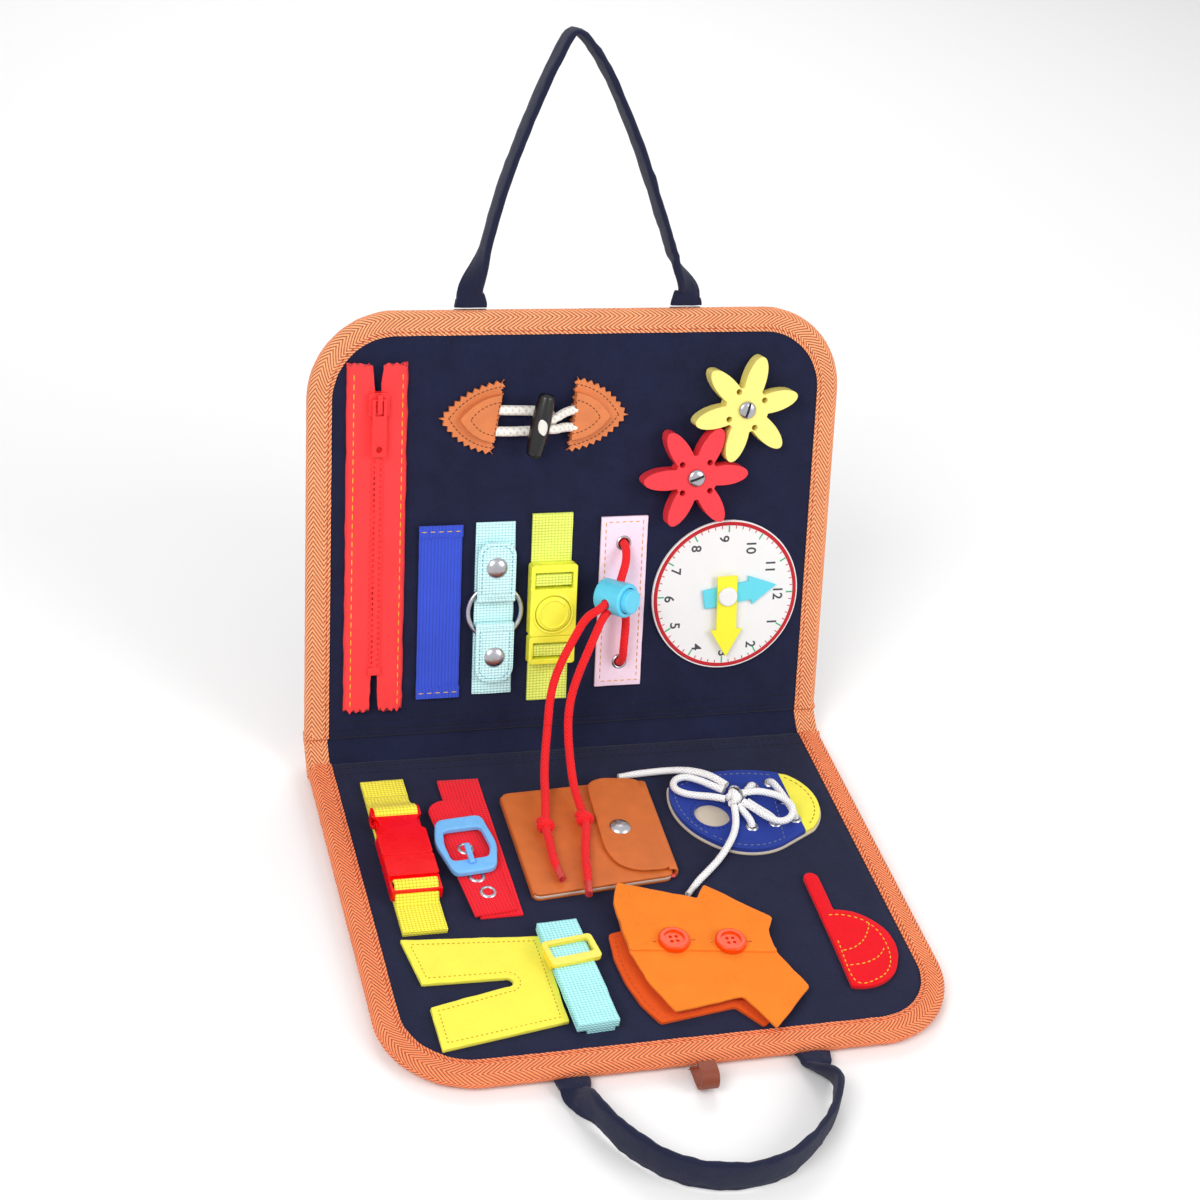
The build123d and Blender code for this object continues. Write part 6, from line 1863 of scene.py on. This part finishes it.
fold_route = eased([(x, 2.6 - x * 0.03, z) for x, z in fold_spots], 4)
fold_section = flat_section(61.0, 1.2, 0.35, 12)
flap_fold = strap("wallet_flap_fold", fold_route, (0.03, 1, 0), fold_section, ripple=0.12)
settle(flap_fold, wallet_place, "wallet_flap_body", "wallet_leather", "tan_leather")
corner_spot = studs("wallet_corner_spot", [(31.6, -29.6)], 1.5, 2.1, 1.0)
settle(corner_spot, *on_wallet, "cord_tip", "tan_leather")
wallet_cap = turned("wallet_snap_cap", [
    (0, 7.75), (1.6, 7.65), (3.0, 7.35), (4.1, 6.8), (4.7, 6.3), (5.0, 5.95), (4.8, 5.74),
    (1.25, 5.74), (1.25, 4.62), (1.95, 4.6), (1.95, 4.15), (0, 4.15),
], (14.7, 1.3, 0))
settle(wallet_cap, wallet_place, "wallet_flap_body", "nickel", "silver_metal", "wallet_snap")

# %% [markdown]
# ### Shoe
#
# The shoe is three layers of felt: a beige sole, a blue upper with a round window, and a yellow
# toe cap. It is held by a dashed seam all round. The lace is one white cord in several visible
# stretches: short rows between the eyelets, a wound knot, two loops and two ends.

# %% Shoe
softened("shoe_base", 0.25, "shoe_beige", "beige_felt")
softened("shoe_upper", 0.35, "shoe_blue", "blue_felt")
softened("shoe_toe", 0.35, "yellow_felt", "yellow_felt")


def through(start, middle, end, steps=14):
    """Places on the circle through three places, from the first to the last."""
    (ax, ay), (bx, by), (cx, cy) = start, middle, end
    d = 2 * (ax * (by - cy) + bx * (cy - ay) + cx * (ay - by))
    aa, bb, cc = ax * ax + ay * ay, bx * bx + by * by, cx * cx + cy * cy
    ux = (aa * (by - cy) + bb * (cy - ay) + cc * (ay - by)) / d
    uy = (aa * (cx - bx) + bb * (ax - cx) + cc * (bx - ax)) / d
    radius = Vector((ax - ux, ay - uy)).length
    first, half, last = (atan2(y - uy, x - ux) for x, y in (start, middle, end))
    turn, part = (last - first) % (2 * pi), (half - first) % (2 * pi)
    if part > turn:
        turn -= 2 * pi
    ways = [first + turn * step / steps for step in range(steps)]
    return [(ux + radius * cos(way), uy + radius * sin(way)) for way in ways]


sole_outline = (
    through((-32.0, 21.5), (-34.5, 3.0), (-24.0, -18.0))
    + through((-24.0, -18.0), (-7.0, -27.6), (14.0, -24.0)) + [(14.0, -24.0)]
    + through((30.0, -15.5), (38.6, 3.0), (29.0, 23.5))
    + through((29.0, 23.5), (4.0, 29.0), (-32.0, 21.5))
)
shoe_place = lower @ Matrix.Translation((*shoe_at, 0))
on_shoe = (shoe_place, "lower_panel")
shoe_line = inset(sole_outline, 3.4)
blue_part = [place for place in shoe_line if place[0] < 23.6]
toe_part = [place for place in shoe_line if place[0] > 25.6]
shoe_seam = seam("shoe_seam", blue_part[14:] + blue_part[:14], 3.0, 2.0, 3.42, 1.1)
settle(shoe_seam, *on_shoe, "grey_thread", "blue_felt")
toe_seam = seam("shoe_toe_seam", toe_part, 3.0, 2.0, 3.02, 1.0)
settle(toe_seam, *on_shoe, "olive_thread", "yellow_felt")
window_ring = seam("shoe_window_seam", arc((-17.0, -1.5), 10.2, 0, 360, 36), 2.6, 1.7, 3.42, 0.9)
settle(window_ring, *on_shoe, "dark_blue_thread", "blue_felt")

# %% The lace
lace_d = 3.4
white_cord = (lace_d, "white_lace", "white_braid")


def lace(name, *spots, replaced=(), taper=0):
    places = [shoe_place @ Vector(spot) / mm for spot in spots]
    return soft_cord("lace_" + name, places, *white_cord, "lower_panel", replaced, taper)


row_z = 5.8
lace_rows = [
    lace("row_1", (-0.6, -11.9, 3.6), (-0.8, -11.2, row_z), (-3.0, -3.0, row_z + 0.4),
         (-4.0, -0.6, row_z + 1.4)),
    lace("row_2", (11.5, -10.5, 3.6), (11.0, -10.1, row_z), (3.2, -0.8, row_z + 0.4),
         (0.6, 1.6, row_z + 1.4)),
    lace("row_3", (22.0, -8.9, 3.6), (21.9, -8.2, row_z), (20.2, 4.0, row_z + 0.5),
         (18.4, 16.4, row_z), (18.3, 17.2, 3.6)),
    lace("row_4", (8.7, 15.6, 3.6), (8.2, 15.0, row_z), (1.8, 8.0, row_z + 0.4),
         (-0.8, 5.4, row_z + 1.4)),
]
left_loop = lace(
    "left_loop", (-10.0, 2.6, 8.6), (-15.2, 5.6, 8.0), (-21.4, 8.0, 7.0), (-27.6, 11.2, 6.0),
    (-31.4, 16.2, 5.6), (-29.6, 21.4, 5.8), (-24.2, 22.8, 6.6), (-18.6, 18.6, 7.6),
    (-14.0, 13.2, 8.6), (-9.4, 7.6, 9.4),
    replaced=("shoelace",))
right_loop = lace(
    "right_loop", (-1.8, 4.0, 10.2), (4.2, 5.0, 10.4), (11.4, 3.8, 9.6), (18.0, 0.2, 9.2),
    (21.0, -6.4, 8.8), (18.2, -13.2, 8.6), (11.6, -16.6, 8.8), (5.6, -12.6, 9.2),
    (1.4, -6.4, 9.4), (-2.2, -0.8, 9.2),
    replaced=("shoelace",))
left_end = lace(
    "left_end", (-8.0, 8.8, 11.6), (-11.6, 15.2, 11.2), (-16.6, 21.4, 9.6), (-23.2, 26.6, 7.2),
    (-31.0, 30.4, 4.2), (-39.0, 32.2, 2.2), (-46.4, 32.0, 1.9), (-53.8, 31.0, 1.9),
    replaced=("shoelace",), taper=1)
right_end = lace(
    "right_end", (-7.2, -2.6, 8.2), (-8.2, -9.6, 7.0), (-11.2, -17.2, 6.0), (-16.2, -24.6, 5.6),
    (-22.6, -31.4, 3.2), (-30.0, -37.6, 1.9), (-37.6, -44.2, 1.9), (-44.2, -51.6, 1.9),
    replaced=("shoelace",), taper=1)
knot_middle = shoe_place @ Vector((-6.0, 3.2, 8.9)) / mm
lace_knots = [
    wound_knot(name, knot_middle, Vector(heading), half, *white_cord, "lower_panel")
    for name, heading, half in (
        ("lace_knot", (1, 0.35, 0.1), 4.3), ("lace_knot_cross", (-0.3, 1, 0.0), 3.6))
]
lace_tips = [
    hard_tip(name, cord_lines[end.name], 9.0, 2.9, "lace_tip_white", "white_braid", "lower_panel")
    for name, end in (("lace_tip_left", left_end), ("lace_tip_right", right_end))
]

# %% [markdown]
# ### Trousers
#
# The trousers are one thick felt piece with a sewn line of pinholes just inside its edge, and a
# light blue belt that slides through a yellow adjuster.

# %% Trousers, belt and adjuster
pants_place = lower @ Matrix.Translation((-77.0, -154.0, 0))
on_pants = (pants_place, "lower_panel")
pants_outline = (
    [(-31.3, 32.3), (29.5, 27.4), (29.7, -23.5), (-26.5, -32.3), (-26.7, -8.2)]
    + through((8.2, -0.7), (11.4, 2.1), (8.0, 4.6), 10) + [(8.0, 4.6), (-27.4, 5.6)]
)
pants = cut_piece("pants_leaf", pants_outline, 0.0, 2.0, 0.4, 3)
settle(pants, *on_pants, "yellow_felt", "yellow_felt", "pants_felt")
relaxed(pants, pants_place, 5.0, 0.14, 0.45, floor_at=0.8)
pants_seam = seam("pants_seam", inset(pants_outline, 3.1), 2.2, 1.2, 2.02, 1.0, closed=True)
settle(pants_seam, *on_pants, "amber_thread", "yellow_felt")
waist = softened("pants_belt", 0.2, "waist_webbing", "light_blue_webbing")
lay_weave(relaxed(waist, lower, 5.0, 0.12, 0.3, floor_at=1.0), lower, 2.8)
softened("pants_slider", 0.6, "slider_yellow", "yellow_slider_plastic", segments=3)

# %% [markdown]
# ### Shirt
#
# The shirt is a small felt garment in three layers: a darker back, a front that stands off it,
# and a yoke over the front's upper half. Two large buttons go through slits in the yoke.

# %% Shirt and buttons
shirt_place = lower @ Matrix.Translation((14.0, -148.0, 0))
on_shirt = (shirt_place, "lower_panel")
back_corners = (
    (-22, 42), (10, 31), (18.6, 38), (42, 14.6), (38.6, 1), (44, -26), (21.5, -43),
    (12.2, -30.6), (-22.6, -35.5), (-28.2, -24.0), (-31.4, -10.4), (-32.4, 4.0), (-30.9, 18.7),
    (-24.5, 20),
)
shoulders = (
    (-20.2, 45.8), (11.1, 32.9), (13.3, 31.7), (19.3, 40.2), (43.8, 15.8), (39.8, 7.8))
left_side = ((-25.7, 4.3), (-25.6, 20.0), (-24.9, 34.6))
front_corners = (
    *shoulders, (39.4, -4.8), (47.0, -26.4), (25.0, -47.9), (15.6, -28.5), (-16.2, -33.3),
    (-23.4, -12.0), *left_side,
)
yoke_corners = (*shoulders, (38.6, 0.5), (39.5, -5.1), *left_side)
back_outline, front_outline, yoke_outline = (
    rounded(corners, 1.5) for corners in (back_corners, front_corners, yoke_corners)
)
for name, outline, bottom, top, material, lift, *replaced in (
    ("shirt_back", back_outline, 0.0, 1.6, "deep_orange_felt", 0.2),
    ("shirt_front", front_outline, 4.0, 5.25, "orange_felt", 0.4, "shirt_felt"),
    ("shirt_yoke", yoke_outline, 5.2, 6.1, "orange_felt", 0.4),
):
    layer = cut_piece(name, outline, bottom, top, 0.3, 3)
    settle(layer, *on_shirt, material, "orange_felt", *replaced)
    relaxed(layer, shirt_place, 4.0, lift, 0.4, floor_at=0.8)
back_seam = seam("shirt_back_seam", inset(back_outline, 2.4), 2.8, 1.7, 1.66, 1.0, closed=True)
settle(back_seam, *on_shirt, "rust_thread", "orange_felt")
for name, x, y in (("left", -5.2, 6.6), ("right", 19.8, 2.6)):
    slit = seam("shirt_slit_" + name, [(x - 9.5, y + 1.0), (x + 9.5, y - 0.4)], 2.2, 2.0, 6.1, 1.2)
    settle(slit, *on_shirt, "rust_thread", "orange_felt")
softened("shirt_buttons", 0.3, "button_orange", "orange_plastic", segments=3)

# %% [markdown]
# ### Cap
#
# The cap is a single red felt piece: a round crown and a long narrow peak. Yellow seams draw its
# panels, as the seams of a sewn cap would.

# %% Cap
cap_place = lower @ Matrix.Translation((92.0, -144.0, 0))
cap_felt = softened("cap", 0.45, "red_felt", "red_felt", segments=3)
relaxed(cap_felt, lower, 5.0, 0.15, 0.3, floor_at=0.8)
cap_lines = (
    [(-7.0, -2.0), (-7.7, -27.4), (4.0, -27.0), (11.5, -20.0), (14.4, -10.0), (13.6, 1.0),
     (9.0, 8.6), (1.0, 12.8), (-5.0, 13.6)],
    [(-7.2, -9.0), (-1.0, -7.6), (5.0, -3.6), (9.4, 2.4), (11.4, 6.4)],
    [(-7.4, -18.0), (1.0, -17.4), (8.4, -14.2), (13.8, -8.4)],
)
cap_seams = [seam("row", eased(line, 8), 2.9, 1.9, 2.24, 1.1) for line in cap_lines]
settle(joined("cap_seams", cap_seams), cap_place, "lower_panel", "yellow_thread", "red_felt")

# %% [markdown]
# ## Floor and light
#
# The case lies on a plain pale floor under three large soft lamps. The camera sees the floor
# and the world as white, and polished metal sees them as white too. The object itself is lit
# at a plain level, at which a colour looks as it was mixed.

# %% Floor
floor = added(bpy.ops.mesh.primitive_plane_add, size=6, location=(0, 0, cad_box[0].z - 0.0001))
floor.name = "floor"
floor_paint = bpy.data.materials.new("floor_paint")
floor_paint.use_nodes = True
floor_sockets = floor_paint.node_tree.nodes["Principled BSDF"].inputs
floor_sockets["Base Color"].default_value = (0.92, 0.92, 0.92, 1)
floor_sockets["Roughness"].default_value = 0.9
floor.data.materials.append(floor_paint)

# %% World and lamps
world = bpy.data.worlds.new("studio")
bpy.context.scene.world = world
world.use_nodes = True
sky = world.node_tree
back_light = sky.nodes["Background"]
back_light.inputs["Color"].default_value = (1, 1, 1, 1)
path = sky.nodes.new("ShaderNodeLightPath")
seen = math_node(sky, "MAXIMUM", path.outputs["Is Camera Ray"], path.outputs["Is Glossy Ray"])
seen = math_node(sky, "MAXIMUM", seen, path.outputs["Is Transmission Ray"])
strength = math_node(sky, "ADD", math_node(sky, "MULTIPLY", seen, 0.5), 0.5)
sky.links.new(strength, back_light.inputs["Strength"])


case_middle = Vector((0, 0.03, 0.06))
for name, place, power in (
    ("lamp_left", (-0.9, -0.7, 1.2), 13), ("lamp_right", (0.95, -0.8, 0.9), 8),
    ("lamp_behind", (0.2, 1.1, 1.1), 7),
):
    lamp = added(bpy.ops.object.light_add, type="AREA", location=place)
    lamp.name = name
    lamp.data.shape = "DISK"
    lamp.data.size = 0.9
    lamp.data.energy = power
    lamp.rotation_euler = (Vector(place) - case_middle).to_track_quat("Z", "Y").to_euler()
bpy.context.scene.view_settings.view_transform = "Standard"
print("lamps", len(bpy.data.lights))

# %% [markdown]
# ## Finish
#
# The view layer is brought up to date.

# %% Finish
bpy.context.view_layer.update()
